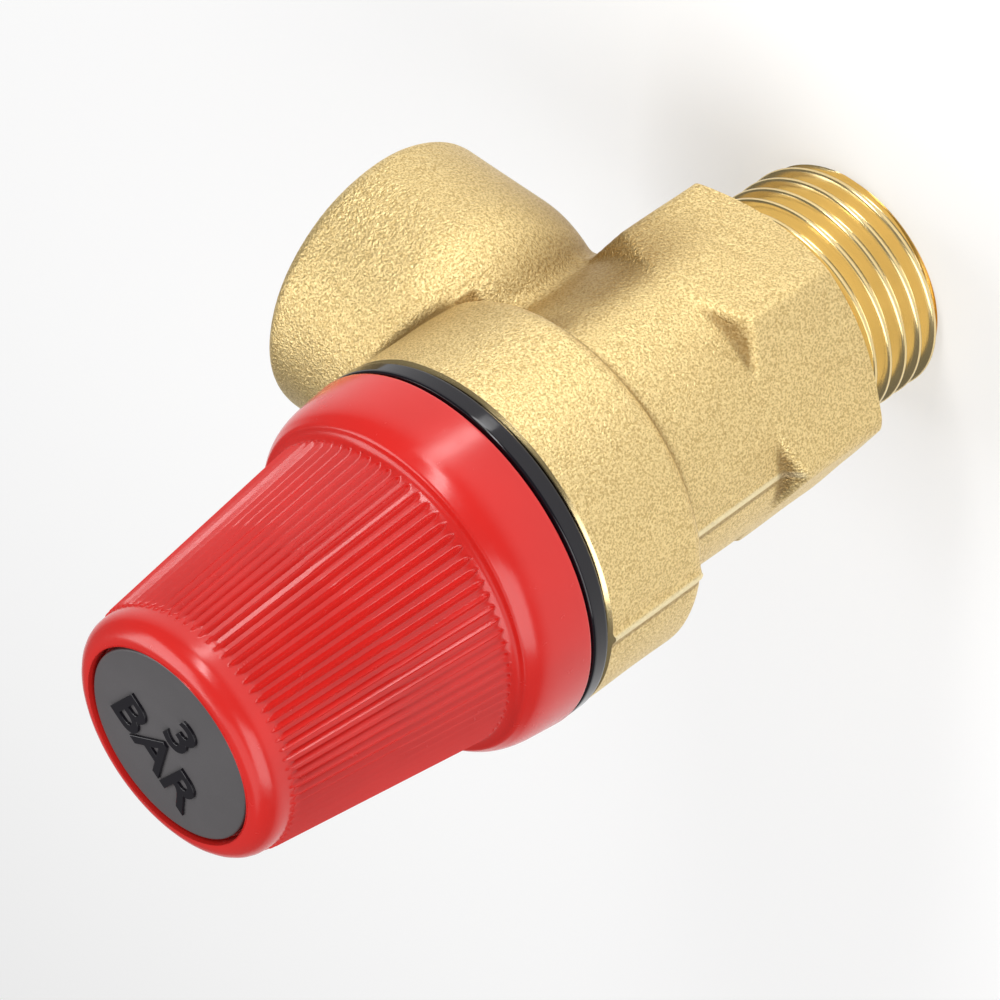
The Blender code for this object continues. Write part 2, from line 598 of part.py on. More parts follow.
def fluted_shell():
    """The knob's outer skin down to its base, closed flat below and at the insert's recess."""
    nose = rounded(NOSE_R - NOSE_EDGE, NOSE_TIP_Z - NOSE_EDGE, NOSE_EDGE, 0.0, 90.0, 4)
    collar_edge = rounded(COLLAR_TOP_R - COLLAR_EDGE, COLLAR_TOP_Z, COLLAR_EDGE, 0.0, 60.0, 2)
    lower = [(KNOB_R, KNOB_BOTTOM_Z), *collar_edge, (COLLAR_CREASE_R, COLLAR_CREASE_Z)]
    taper = FLUTE_END * (FLUTE_FOOT_R - FLUTE_TIP_R) / (FLUTE_TIP_Z - FLUTE_FOOT_Z)
    fluted = [(FLUTE_FOOT_R, FLUTE_FOOT_Z, FLUTE_END_D),
              (FLUTE_FOOT_R - taper, FLUTE_FOOT_Z + FLUTE_END, FLUTE_D),
              (FLUTE_TIP_R + taper, FLUTE_TIP_Z - FLUTE_END, FLUTE_D),
              (FLUTE_TIP_R, FLUTE_TIP_Z, FLUTE_END_D)]
    bm = bmesh.new()

    def corner(r, z, index):
        angle = math.tau * index / (2 * FLUTE_COUNT)
        return bm.verts.new((r * math.cos(angle) * MM, r * math.sin(angle) * MM, z * MM))

    def plain_ring(r, z):
        return [corner(r, z, 2 * i) for i in range(FLUTE_COUNT)]

    def fluted_ring(r, z, depth):
        return [corner(r - depth * (i % 2), z, i) for i in range(2 * FLUTE_COUNT)]

    def bridge(low, high):
        count = len(low)
        for i in range(count):
            j = (i + 1) % count
            bm.faces.new((low[i], low[j], high[j], high[i]))

    def fan(plain, ridged):
        count = len(plain)
        for i in range(count):
            j = (i + 1) % count
            crest, valley, following = ridged[2 * i], ridged[2 * i + 1], ridged[2 * j]
            bm.faces.new((plain[i], crest, valley))
            bm.faces.new((plain[i], valley, plain[j]))
            bm.faces.new((plain[j], valley, following))

    below = [plain_ring(r, z) for r, z in lower]
    flutes = [fluted_ring(*place) for place in fluted]
    above = [plain_ring(r, z) for r, z in nose]
    for group in (below, flutes, above):
        for low, high in zip(group, group[1:]):
            bridge(low, high)
    fan(below[-1], flutes[0])
    fan(above[0], flutes[-1])
    bm.faces.new(below[0])
    bm.faces.new(above[-1])
    return bm


def build_knob(plastics):
    """Release knob: a hollow fluted cone with an inner web that carries the cam teeth."""
    knob = add_object("knob", fluted_shell(), plastics["red_plastic"])

    inner_foot_r = KNOB_R - KNOB_WALL
    slope = (FLUTE_FOOT_R - FLUTE_TIP_R) / (FLUTE_TIP_Z - FLUTE_FOOT_Z)
    cone_foot_r = FLUTE_FOOT_R - FLUTE_D - KNOB_WALL
    cone_top_r = cone_foot_r - slope * (WEB_BOTTOM_Z - FLUTE_FOOT_Z)
    below = add_cutter("knob_cavity", turned([
        (0.0, KNOB_BOTTOM_Z - PAST), (inner_foot_r, KNOB_BOTTOM_Z - PAST),
        (COLLAR_TOP_R - KNOB_WALL, COLLAR_TOP_Z),
        (cone_foot_r, FLUTE_FOOT_Z), (cone_top_r, WEB_BOTTOM_Z), (0.0, WEB_BOTTOM_Z)], ROUND))
    combine(knob, "DIFFERENCE", below)

    web_top_z = WEB_BOTTOM_Z + WEB_T
    above = add_cutter("knob_well", turned([
        (0.0, WEB_BOTTOM_Z - PAST), (WEB_BORE_R, WEB_BOTTOM_Z - PAST), (WEB_BORE_R, web_top_z),
        (NUT_WELL_R, web_top_z), (NUT_WELL_R, INSERT_SEAT_Z), (NOSE_TIP_R, INSERT_SEAT_Z),
        (NOSE_TIP_R, NOSE_TIP_Z + PAST), (0.0, NOSE_TIP_Z + PAST)], ROUND))
    combine(knob, "DIFFERENCE", above)

    low_z, high_z = (CAM_FLOOR_Z + GAP) * MM, (WEB_BOTTOM_Z + WEB_T / 2) * MM
    for i in range(CAM_COUNT):
        bm = bmesh.new()
        last = 360.0 / CAM_COUNT * i
        sections = []
        for degrees in (last - TOOTH_WIDTH, last - TOOTH_WIDTH / 2, last):
            angle = math.radians(degrees)
            x, y = math.cos(angle) * MM, math.sin(angle) * MM
            sections.append([bm.verts.new(place) for place in (
                (TOOTH_INNER_R * x, TOOTH_INNER_R * y, low_z), (TOOTH_OUTER_R * x, TOOTH_OUTER_R * y, low_z),
                (TOOTH_OUTER_R * x, TOOTH_OUTER_R * y, high_z),
                (TOOTH_INNER_R * x, TOOTH_INNER_R * y, high_z))])
        for near, far in zip(sections, sections[1:]):
            for a in range(4):
                b = (a + 1) % 4
                bm.faces.new((near[a], near[b], far[b], far[a]))
        bm.faces.new(sections[0])
        bm.faces.new(reversed(sections[-1]))
        combine(knob, "UNION", add_cutter(f"cam_tooth_{i + 1}", bm))
    return knob


def build_knob_insert(plastics):
    """The disc pressed into the knob's nose, with a short ring under it."""
    low_z = INSERT_TOP_Z - INSERT_T
    edge = 0.2
    leg_inner_r = INSERT_LEG_R - INSERT_LEG_T
    return add_object("knob_insert", turned([
        (0.0, low_z), (leg_inner_r, low_z), (leg_inner_r, INSERT_LEG_Z), (INSERT_LEG_R, INSERT_LEG_Z),
        (INSERT_LEG_R, low_z), (INSERT_R, low_z), (INSERT_R, INSERT_TOP_Z - edge),
        (INSERT_R - edge, INSERT_TOP_Z), (0.0, INSERT_TOP_Z)], ROUND), plastics["grey_plastic"])


def build_knob_fasteners(metals):
    """The thrust washer on the knob's web and the nut on the spindle that bears on it."""
    washer = add_object("thrust_washer", ring(WEB_BORE_R, THRUST_WASHER_R, THRUST_WASHER_Z,
                                              THRUST_WASHER_T), metals["steel"])
    nut = add_object("spindle_nut", hexagon(SPINDLE_NUT_FLATS, SPINDLE_NUT_Z, SPINDLE_NUT_T),
                     metals["steel"])
    hole = add_cutter("spindle_nut_hole", ring(0.0, SPINDLE_R + SPINDLE_FIT, SPINDLE_NUT_Z - PAST,
                                               SPINDLE_NUT_T + 2 * PAST))
    combine(nut, "DIFFERENCE", hole)
    return [washer, nut]


# ---------------------------------------------------------------- assembly

def add_axis(name, height, pieces):
    """An empty on the valve axis that carries the pieces of one moving group."""
    empty = bpy.data.objects.new(name, None)
    empty.empty_display_size = 5.0 * MM
    empty.location = (0.0, 0.0, height * MM)
    bpy.context.scene.collection.objects.link(empty)
    bpy.context.view_layer.update()
    for piece in pieces:
        piece.parent = empty
        piece.matrix_parent_inverse = empty.matrix_world.inverted()
    return empty


def main():
    for old in list(bpy.data.objects):
        bpy.data.objects.remove(old)
    stuff = make_materials()

    build_valve_body(stuff)
    build_bonnet(stuff)
    seal_parts = build_seal_parts(stuff)
    clamp_parts = build_diaphragm_parts(stuff)
    spindle = build_spindle(stuff)
    build_spring(stuff)
    build_spring_setting(stuff)
    knob = build_knob(stuff)
    insert = build_knob_insert(stuff)
    washer, spindle_nut = build_knob_fasteners(stuff)

    lifter = add_axis("lifter_axis", WEB_BOTTOM_Z, [washer])
    turning = add_axis("knob_axis", WEB_BOTTOM_Z, [knob, insert])
    rising = add_axis("spindle_axis", SPINDLE_NUT_Z, [spindle, spindle_nut, *clamp_parts, *seal_parts])
    for group in (turning, rising):
        group.parent = lifter
        group.matrix_parent_inverse = lifter.matrix_world.inverted()


main()
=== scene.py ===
"""The looks of a pressure relief valve: its forged body, threads, knob and inner pieces, laid out as an add-on.

The valve axis is +Z with the knob on top, and the outlet points along +X. Sizes in this file are in
millimetres unless a property says otherwise, and meshes are made in metres.
"""
import json
import math
from functools import cache

import bpy
import numpy as np
from bpy.props import FloatProperty, FloatVectorProperty, IntProperty, PointerProperty
from mathutils import Matrix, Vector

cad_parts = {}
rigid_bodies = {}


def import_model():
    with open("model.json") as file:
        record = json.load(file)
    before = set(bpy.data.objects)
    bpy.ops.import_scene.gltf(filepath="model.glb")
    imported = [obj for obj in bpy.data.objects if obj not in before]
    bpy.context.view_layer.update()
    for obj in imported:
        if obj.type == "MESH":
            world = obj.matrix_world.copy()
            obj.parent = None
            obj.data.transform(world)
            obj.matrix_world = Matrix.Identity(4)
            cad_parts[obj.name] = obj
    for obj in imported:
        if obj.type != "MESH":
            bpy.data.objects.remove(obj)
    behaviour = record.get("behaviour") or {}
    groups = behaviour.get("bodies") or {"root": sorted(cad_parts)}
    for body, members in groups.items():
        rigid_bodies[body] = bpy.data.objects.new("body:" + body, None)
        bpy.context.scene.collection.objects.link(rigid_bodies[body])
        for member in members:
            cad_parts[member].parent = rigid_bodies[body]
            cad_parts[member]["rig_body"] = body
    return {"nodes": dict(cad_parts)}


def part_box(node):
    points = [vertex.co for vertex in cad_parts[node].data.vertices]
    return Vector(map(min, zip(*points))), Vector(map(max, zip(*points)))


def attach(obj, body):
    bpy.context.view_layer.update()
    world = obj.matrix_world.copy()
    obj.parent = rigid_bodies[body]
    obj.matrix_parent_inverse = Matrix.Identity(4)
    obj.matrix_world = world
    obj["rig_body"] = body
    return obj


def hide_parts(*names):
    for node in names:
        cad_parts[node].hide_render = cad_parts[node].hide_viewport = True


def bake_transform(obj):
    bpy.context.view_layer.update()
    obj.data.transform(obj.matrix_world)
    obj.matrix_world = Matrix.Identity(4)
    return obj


bl_info = {
    "name": "Pressure relief valve looks",
    "version": (1, 0, 0),
    "blender": (4, 5, 0),
    "location": "View3D > Sidebar > Relief valve",
    "description": "Builds the visible pieces and finishes of a pressure relief valve",
    "category": "Object",
}

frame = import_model()

MM = 0.001
TINY = 1e-9
OUTLET_Z = 28.4
THREAD_PITCH = 1.814
THREAD_MAJOR_R = 10.48
THREAD_MINOR_R = 9.32
BORE_R = 6.5
HEX_BOTTOM_Z = 10.4
HEX_HALF = 12.5
CONE_Z, CONE_R, CONE_SLOPE = 20.35, 14.3, 0.87
BARREL_R = 12.55
DRUM_R = 15.9
DRUM_BACK_Z = 33.9
DRUM_FRONT_Z = 45.2
BOSS_R = 12.73
BOSS_START_X = 17.6
BOSS_END_X = 26.8
MOUTH_R = 10.55
SEAM_Y = -0.2
CONE_FALL = 0.1333
RAMP_SPACING, RAMP_LENGTH, RAMP_END = 120.0, 80.0, 90.0
RAMP_RISE = 1.5
SPINDLE_HOLE_R = 2.3


def heights(node):
    """Lowest and highest point of a frame node, in millimetres."""
    low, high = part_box(node)
    return low.z / MM, high.z / MM


def reach(node):
    """Outer radius of a frame node that is centred on the valve axis, in millimetres."""
    low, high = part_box(node)
    return (high.x - low.x) / 2 / MM


# ---- surfaces

def linked(name, data):
    """An object in the scene with that data."""
    made = bpy.data.objects.new(name, data)
    bpy.context.scene.collection.objects.link(made)
    return made


def grid_faces(rows, columns, closed_rows=False):
    """Quads of a grid whose columns run round in a circle: each joins a point, the next one round it,
    and the two above them."""
    row, column = np.meshgrid(np.arange(rows if closed_rows else rows - 1), np.arange(columns), indexing="ij")
    above, beside = (row + 1) % rows, (column + 1) % columns
    corners = [row * columns + column, row * columns + beside, above * columns + beside,
               above * columns + column]
    return np.stack(corners, -1).reshape(-1, 4)


def add_piece(name, points, blocks, finish, smooth=True, sharp=None):
    """A mesh object from points in millimetres and blocks of faces. It is shaded smooth, but for the edges
    that turn by more than sharp degrees."""
    mesh = bpy.data.meshes.new(name)
    faces = [face for block in blocks for face in (block.tolist() if isinstance(block, np.ndarray) else block)]
    mesh.from_pydata((np.asarray(points) * MM).tolist(), [], faces)
    mesh.validate()
    if smooth:
        mesh.shade_smooth()
    if sharp:
        mesh.set_sharp_from_angle(angle=math.radians(sharp))
    mesh.materials.append(finish)
    return linked(name, mesh)


def polar(radius, angle, height):
    """The points (radius cos angle, radius sin angle, height)."""
    return np.stack([radius * np.cos(angle), radius * np.sin(angle), height + 0 * angle], -1)


def revolved(radius, height, angle):
    """Points and faces of a surface round the valve axis. Every row is a ring of the same angles. Rows of
    no radius close to one point; without them the last row joins the first."""
    rows, columns = radius.shape
    points = polar(radius, angle, height).reshape(-1, 3)
    closes_on_axis = radius[0].max() < TINY and radius[-1].max() < TINY
    if not closes_on_axis:
        return points, [grid_faces(rows, columns, closed_rows=True)]
    ringed = points[columns:-columns]
    count = len(ringed)
    start = np.arange(columns)
    following = (start + 1) % columns
    last = count - columns
    low_fan = np.stack([following, start, np.full(columns, count)], -1)
    high_fan = np.stack([last + start, last + following, np.full(columns, count + 1)], -1)
    points = np.concatenate([ringed, points[:1], points[-1:]])
    return points, [grid_faces(rows - 2, columns), low_fan, high_fan]


def swept(line, columns):
    """Radius, height and angle of every point when a line of (radius, height) is turned round the axis."""
    line = np.asarray(line)
    radius, height = (np.repeat(line[:, i:i + 1], columns, 1) for i in (0, 1))
    return radius, height, np.arange(columns) * math.tau / columns + 0 * radius


def softened(outline, size=0.15, steps=3):
    """An outline with its corners rounded. Each corner c between the points a and b, which lie size away
    from it along its two sides, becomes the curve (1-t)^2 a + 2t(1-t) c + t^2 b, with one more point
    on each side to keep flat parts flat. Points on the axis stay as they are."""
    support = 0.05
    corner = np.asarray(outline, float)
    before, after = np.roll(corner, 1, 0), np.roll(corner, -1, 0)
    to_before, to_after = before - corner, after - corner
    long_before = np.linalg.norm(to_before, axis=1, keepdims=True)
    long_after = np.linalg.norm(to_after, axis=1, keepdims=True)
    cut = np.minimum(size, 0.4 * np.minimum(long_before, long_after))
    a = corner + to_before / long_before * cut
    b = corner + to_after / long_after * cut
    t = np.linspace(0.0, 1.0, steps + 1)[None, :, None]
    arc = (1 - t) ** 2 * a[:, None] + 2 * t * (1 - t) * corner[:, None] + t ** 2 * b[:, None]
    first = corner + to_before / long_before * (cut + support * np.minimum(1.0, long_before))
    final = corner + to_after / long_after * (cut + support * np.minimum(1.0, long_after))
    rounded = np.concatenate([first[:, None], arc, final[:, None]], 1)
    on_axis = corner[:, 0] < TINY
    return np.concatenate([corner[i:i + 1] if on_axis[i] else rounded[i] for i in range(len(corner))])


def welded(points, faces):
    """The same surface with points at one place made into one, and faces left without area taken out."""
    _, first, place = np.unique(np.round(points, 6), axis=0, return_index=True, return_inverse=True)
    kept = []
    for face in place.reshape(-1)[faces].tolist():
        corners = [c for i, c in enumerate(face) if c != face[i - 1]]
        if len(corners) > 2 and len(set(corners)) == len(corners):
            kept.append(corners)
    return points[first], kept


def bend(start, corner, end, steps):
    """The curve (1-t)^2 start + 2t(1-t) corner + t^2 end in even steps of t."""
    t = np.linspace(0.0, 1.0, steps)[:, None]
    return (1 - t) ** 2 * np.array(start) + 2 * t * (1 - t) * np.array(corner) + t ** 2 * np.array(end)


def turned(name, outline, finish, columns=128, size=0.15, steps=3, sharp=None):
    """A piece turned round the valve axis from an outline of (radius, height) corners with soft edges."""
    return add_piece(name, *revolved(*swept(softened(outline, size, steps), columns)), finish, sharp=sharp)


def ring(name, inner_r, node, finish, size=0.12):
    """A flat washer as high and as wide as a frame node."""
    low, high = heights(node)
    outer_r = reach(node)
    return turned(name, [(inner_r, low), (outer_r, low), (outer_r, high), (inner_r, high)], finish, size=size)


def along_outlet(points):
    """Points made round the valve axis, turned so that the axis is the outlet's: (x, y, z) goes to
    (z, y, outlet height - x)."""
    return np.stack([points[:, 2], points[:, 1], OUTLET_Z - points[:, 0]], -1)


def thread_height(height, angle):
    """Share of the thread's depth at each point. The helix climbs one pitch in a turn, the saw of
    |2 frac(height / pitch - turns) - 1| gives straight flanks, and both its ends are rounded."""
    root_share, flank_share, straightness = 0.15, 0.70, 0.55
    saw = np.abs(2 * np.mod(height / THREAD_PITCH - angle / math.tau, 1.0) - 1.0)
    straight = np.clip((saw - root_share) / flank_share, 0.0, 1.0)
    return straightness * straight + (1 - straightness) * straight ** 2 * (3 - 2 * straight)


def solved(shape):
    """A new mesh of an object as it ends up."""
    bpy.context.view_layer.update()
    return bpy.data.meshes.new_from_object(shape.evaluated_get(bpy.context.evaluated_depsgraph_get()))


def cut_away(piece, cutter):
    """Cuts one mesh out of another, keeps the cutter's finish on the cut faces and removes the cutter."""
    step = piece.modifiers.new("cut", "BOOLEAN")
    step.operation = "DIFFERENCE"
    step.object = cutter
    step.solver = "EXACT"
    step.material_mode = "TRANSFER"
    mesh = solved(piece)
    piece.modifiers.clear()
    mesh.name = piece.name
    piece.data = mesh
    bpy.data.objects.remove(cutter)
    mesh.shade_smooth()
    mesh.set_sharp_from_angle(angle=math.radians(32.0))
    return piece


# ---- the forging as a level surface

def smooth_least(a, b, blend):
    """The lesser of two distances, lowered by h^2 blend / 4 where they differ by less than blend,
    with h = 1 - |a - b| / blend. It joins two solids with a fillet."""
    share = np.maximum(blend - np.abs(a - b), 0.0) / blend
    return np.minimum(a, b) - share ** 2 * blend / 4


def smooth_most(a, b, blend):
    """The greater of two distances with the same easing, which rounds the edge where two solids meet."""
    return -smooth_least(-a, -b, blend)


def rounded_corner(a, b, edge):
    """Distance to the solid inside two planes at right angles, with the corner between them rounded:
    |(max(a + edge, 0), max(b + edge, 0))| outside it and the greater of the two within, less edge."""
    a, b = a + edge, b + edge
    return np.hypot(np.maximum(a, 0), np.maximum(b, 0)) + np.minimum(np.maximum(a, b), 0) - edge


def forging_distance(p, sizes):
    """Signed distance to the forging, in millimetres: a drum with a rounded back edge, the barrel, the
    hexagon under a cone, and the outlet boss with a ball-shaped back, joined by smooth least values.
    Where the dies met, a low ridge runs along the -X side of drum and barrel: a thin rod let into each."""
    x, y, z = p[:, 0], p[:, 1], p[:, 2]
    r = np.hypot(x, y)
    fillet, seam = sizes.fillet, sizes.seam_ridge

    def ridge(centre_x, radius, low, high):
        rod = np.hypot(x - centre_x, y - SEAM_Y) - radius
        return np.maximum(np.maximum(rod, low - z), z - high)

    ridge_blend, barrel_low, barrel_high, drum_high = 0.3, 16.0, 40.0, 46.4
    drum = rounded_corner(r - DRUM_R, DRUM_BACK_Z - z, sizes.drum_edge)
    drum = np.maximum(drum, z - drum_high)
    drum = smooth_least(drum, ridge(-15.75, seam, 34.7, drum_high), ridge_blend)
    barrel = np.maximum(np.maximum(r - BARREL_R, barrel_low - z), z - barrel_high)
    barrel = smooth_least(barrel, ridge(-12.42, seam * 0.8, 17.0, barrel_high), ridge_blend)
    sixth, hexagon_low, trimmed_x = math.pi / 3, 8.6, -14.13
    flats = [np.abs(x * math.sin(i * sixth) + y * math.cos(i * sixth)) - HEX_HALF for i in range(3)]
    prism = smooth_most(smooth_most(flats[0], flats[1], 0.5), flats[2], 0.5)
    cone = ((z - CONE_Z) + CONE_SLOPE * (r - CONE_R)) / math.hypot(1.0, CONE_SLOPE)
    hexagon = smooth_most(np.maximum(prism, hexagon_low - z), cone, 0.25)
    hexagon = smooth_most(hexagon, trimmed_x - x, 0.15)
    around = np.hypot(y, z - OUTLET_Z)
    uncut_end_x, lip = 27.1, 1.2
    tube = rounded_corner(around - BOSS_R, x - uncut_end_x, lip)
    ball = np.sqrt(np.minimum(x - BOSS_START_X, 0) ** 2 + around ** 2) - BOSS_R
    boss = np.where(x > BOSS_START_X, tube, ball)
    body = smooth_least(drum, barrel, fillet * 0.6)
    body = smooth_least(body, hexagon, fillet * 0.3)
    body = smooth_least(body, boss, fillet * 1.4)
    wander = np.sin(x * 0.9 + 1.3) * np.sin(y * 0.8 + z * 0.35) + np.sin(z * 0.7 + x * 0.3) * np.sin(y * 0.6)
    wander_height = 0.018
    return body + wander_height * wander


def level_surface(distance, low, high, step):
    """The surface where a distance is nought. Space is cut into cells; each cell with corners on both
    sides gets one point, and each edge that crosses the surface joins the four cells round it. The
    points are then averaged with their neighbours and pulled in by distance / slope, several times."""
    axes = [np.arange(a, b + step, step) for a, b in zip(low, high)]
    grid = np.stack(np.meshgrid(*axes, indexing="ij"), -1)
    inside = distance(grid.reshape(-1, 3)).reshape(grid.shape[:3]) < 0
    n = np.array(inside.shape) - 1
    corners = sum(inside[i:i + n[0], j:j + n[1], k:k + n[2]].astype(int)
                  for i in (0, 1) for j in (0, 1) for k in (0, 1))
    mixed = (corners > 0) & (corners < 8)
    index = np.full(tuple(n), -1)
    index[mixed] = np.arange(mixed.sum())
    points = np.argwhere(mixed) * step + np.array(low) + step / 2
    blocks = []
    for axis in range(3):
        one, two = (axis + 1) % 3, (axis + 2) % 3
        near = np.take(inside, np.arange(n[axis]), axis)
        far = np.take(inside, np.arange(1, n[axis] + 1), axis)
        for leaving in (True, False):
            at = np.argwhere((near != far) & (near == leaving))
            step_one, step_two = np.eye(3, dtype=int)[one], np.eye(3, dtype=int)[two]
            quad = [at - step_one - step_two, at - step_two, at, at - step_one]
            quad = np.stack([index[tuple(q.T)] for q in quad], -1)
            blocks.append(quad if leaving else quad[:, ::-1])
    faces = np.concatenate(blocks)
    sides = np.concatenate([faces, np.roll(faces, -1, 1)]).reshape(-1)
    others = np.concatenate([np.roll(faces, -1, 1), faces]).reshape(-1)
    linked = np.bincount(sides, minlength=len(points))
    small, least_slope, rounds = 0.02, 0.1, 4

    def pulled(points):
        here = distance(points)
        slope = np.stack([(distance(points + small * unit) - distance(points - small * unit)) / (2 * small)
                          for unit in np.eye(3)], -1)
        return points - (here / np.maximum((slope ** 2).sum(1), least_slope))[:, None] * slope

    for _ in range(rounds):
        points = pulled(points)
    for _ in range(rounds):
        mean = np.stack([np.bincount(sides, points[others, i], len(points)) for i in range(3)], -1)
        points = pulled(pulled(0.5 * points + 0.5 * mean / linked[:, None]))
    return points, [faces]


# ---- finishes

class Wire:
    """A node's output value. Sums on it add Math nodes that take it as their first value."""

    def __init__(self, finish, socket):
        self.finish, self.socket = finish, socket

    def maths(self, operation, *others):
        return self.finish.node("ShaderNodeMath", {"operation": operation}, dict(enumerate((self, *others))))

    def __add__(self, other):
        return self.maths("ADD", other)

    def __sub__(self, other):
        return self.maths("SUBTRACT", other)

    def __mul__(self, other):
        return self.maths("MULTIPLY", other)

    def __pow__(self, other):
        return self.maths("POWER", other)

    def size(self):
        """The value without its sign."""
        return self.maths("ABSOLUTE")

    def most(self, *others):
        """The greatest of this value and the others."""
        greatest = self
        for other in others:
            greatest = greatest.maths("MAXIMUM", other)
        return greatest

    def between(self, low, high, to_low=0.0, to_high=1.0):
        """Eased from to_low to to_high while the value goes from low to high."""
        return self.finish.node("ShaderNodeMapRange", {"interpolation_type": "SMOOTHSTEP"}, {
            "Value": self, "From Min": low, "From Max": high, "To Min": to_low, "To Max": to_high})


class Finish:
    """A material with one Principled shader, its fixed values, and the nodes that vary it."""

    def __init__(self, name, colour, roughness, metallic=0.0, **fixed):
        self.material = bpy.data.materials.new(name)
        self.material.use_nodes = True
        self.material.diffuse_color = (*colour[:3], 1.0)
        self.nodes = self.material.node_tree.nodes
        self.links = self.material.node_tree.links
        self.shader = self.nodes["Principled BSDF"]
        for socket, value in {"Base Color": (*colour[:3], 1.0), "Roughness": roughness,
                              "Metallic": metallic, **fixed}.items():
            self.shader.inputs[socket].default_value = value
        self.place = self.node("ShaderNodeTexCoord", {}, {}, "Object")

    def node(self, kind, settings, values, output=0):
        """A node with its settings made first and then its sockets' values and links."""
        made = self.nodes.new(kind)
        for setting, value in settings.items():
            setattr(made, setting, value)
        for socket, value in values.items():
            if isinstance(value, Wire):
                self.links.new(value.socket, made.inputs[socket])
            else:
                made.inputs[socket].default_value = value
        return Wire(self, made.outputs[output])

    def feed(self, socket, wire):
        """Lets a value vary one of the shader's inputs."""
        self.links.new(wire.socket, self.shader.inputs[socket])

    def noise(self, size, detail=2.0, roughness=0.5, vector=None, offset=0.0):
        """Noise whose lumps are about size millimetres across, from 0 to 1."""
        where = vector or self.place
        if offset:
            where = self.node("ShaderNodeVectorMath", {"operation": "ADD"},
                              {0: where, 1: (offset, offset * 0.7, -offset)})
        return self.node("ShaderNodeTexNoise", {}, {
            "Vector": where, "Scale": 1.0 / (size * MM), "Detail": detail, "Roughness": roughness})

    def mix(self, share, first, second):
        """One colour into another by a share."""
        first, second = (c if isinstance(c, Wire) else (*c[:3], 1.0) for c in (first, second))
        factor_in, first_in, second_in, colour_out = 0, 6, 7, 2
        return self.node("ShaderNodeMix", {"data_type": "RGBA"},
                         {factor_in: share, first_in: first, second_in: second}, colour_out)

    def bump(self, height, depth, before=None):
        """A bump of depth millimetres from a height between 0 and 1."""
        values = {"Height": height, "Distance": depth * MM, "Strength": 1.0}
        if before:
            values["Normal"] = before
        return self.node("ShaderNodeBump", {}, values)

    def parts(self):
        """The three coordinates in millimetres."""
        separate = self.node("ShaderNodeSeparateXYZ", {}, {0: self.place}).socket.node
        return tuple(Wire(self, separate.outputs[i]) * (1 / MM) for i in range(3))

    def lathe_lines(self, size, detail):
        """Fine rings round the valve axis: noise of the distance from it and the height."""
        x, y, z = self.parts()
        rings = self.node("ShaderNodeCombineXYZ", {}, {0: (x * x + y * y) ** 0.5, 1: z})
        return self.noise(size, detail, 0.6, vector=rings)


def corner(first, second, spread):
    """1 where two distances are both nought, falling to 0 at spread millimetres."""
    return first.size().most(second.size()).between(0.0, spread, 1.0, 0.0)


def scaled(colour, share):
    """A colour made lighter or darker by a factor, channel by channel."""
    return tuple(min(1.0, c * share) for c in colour[:3])


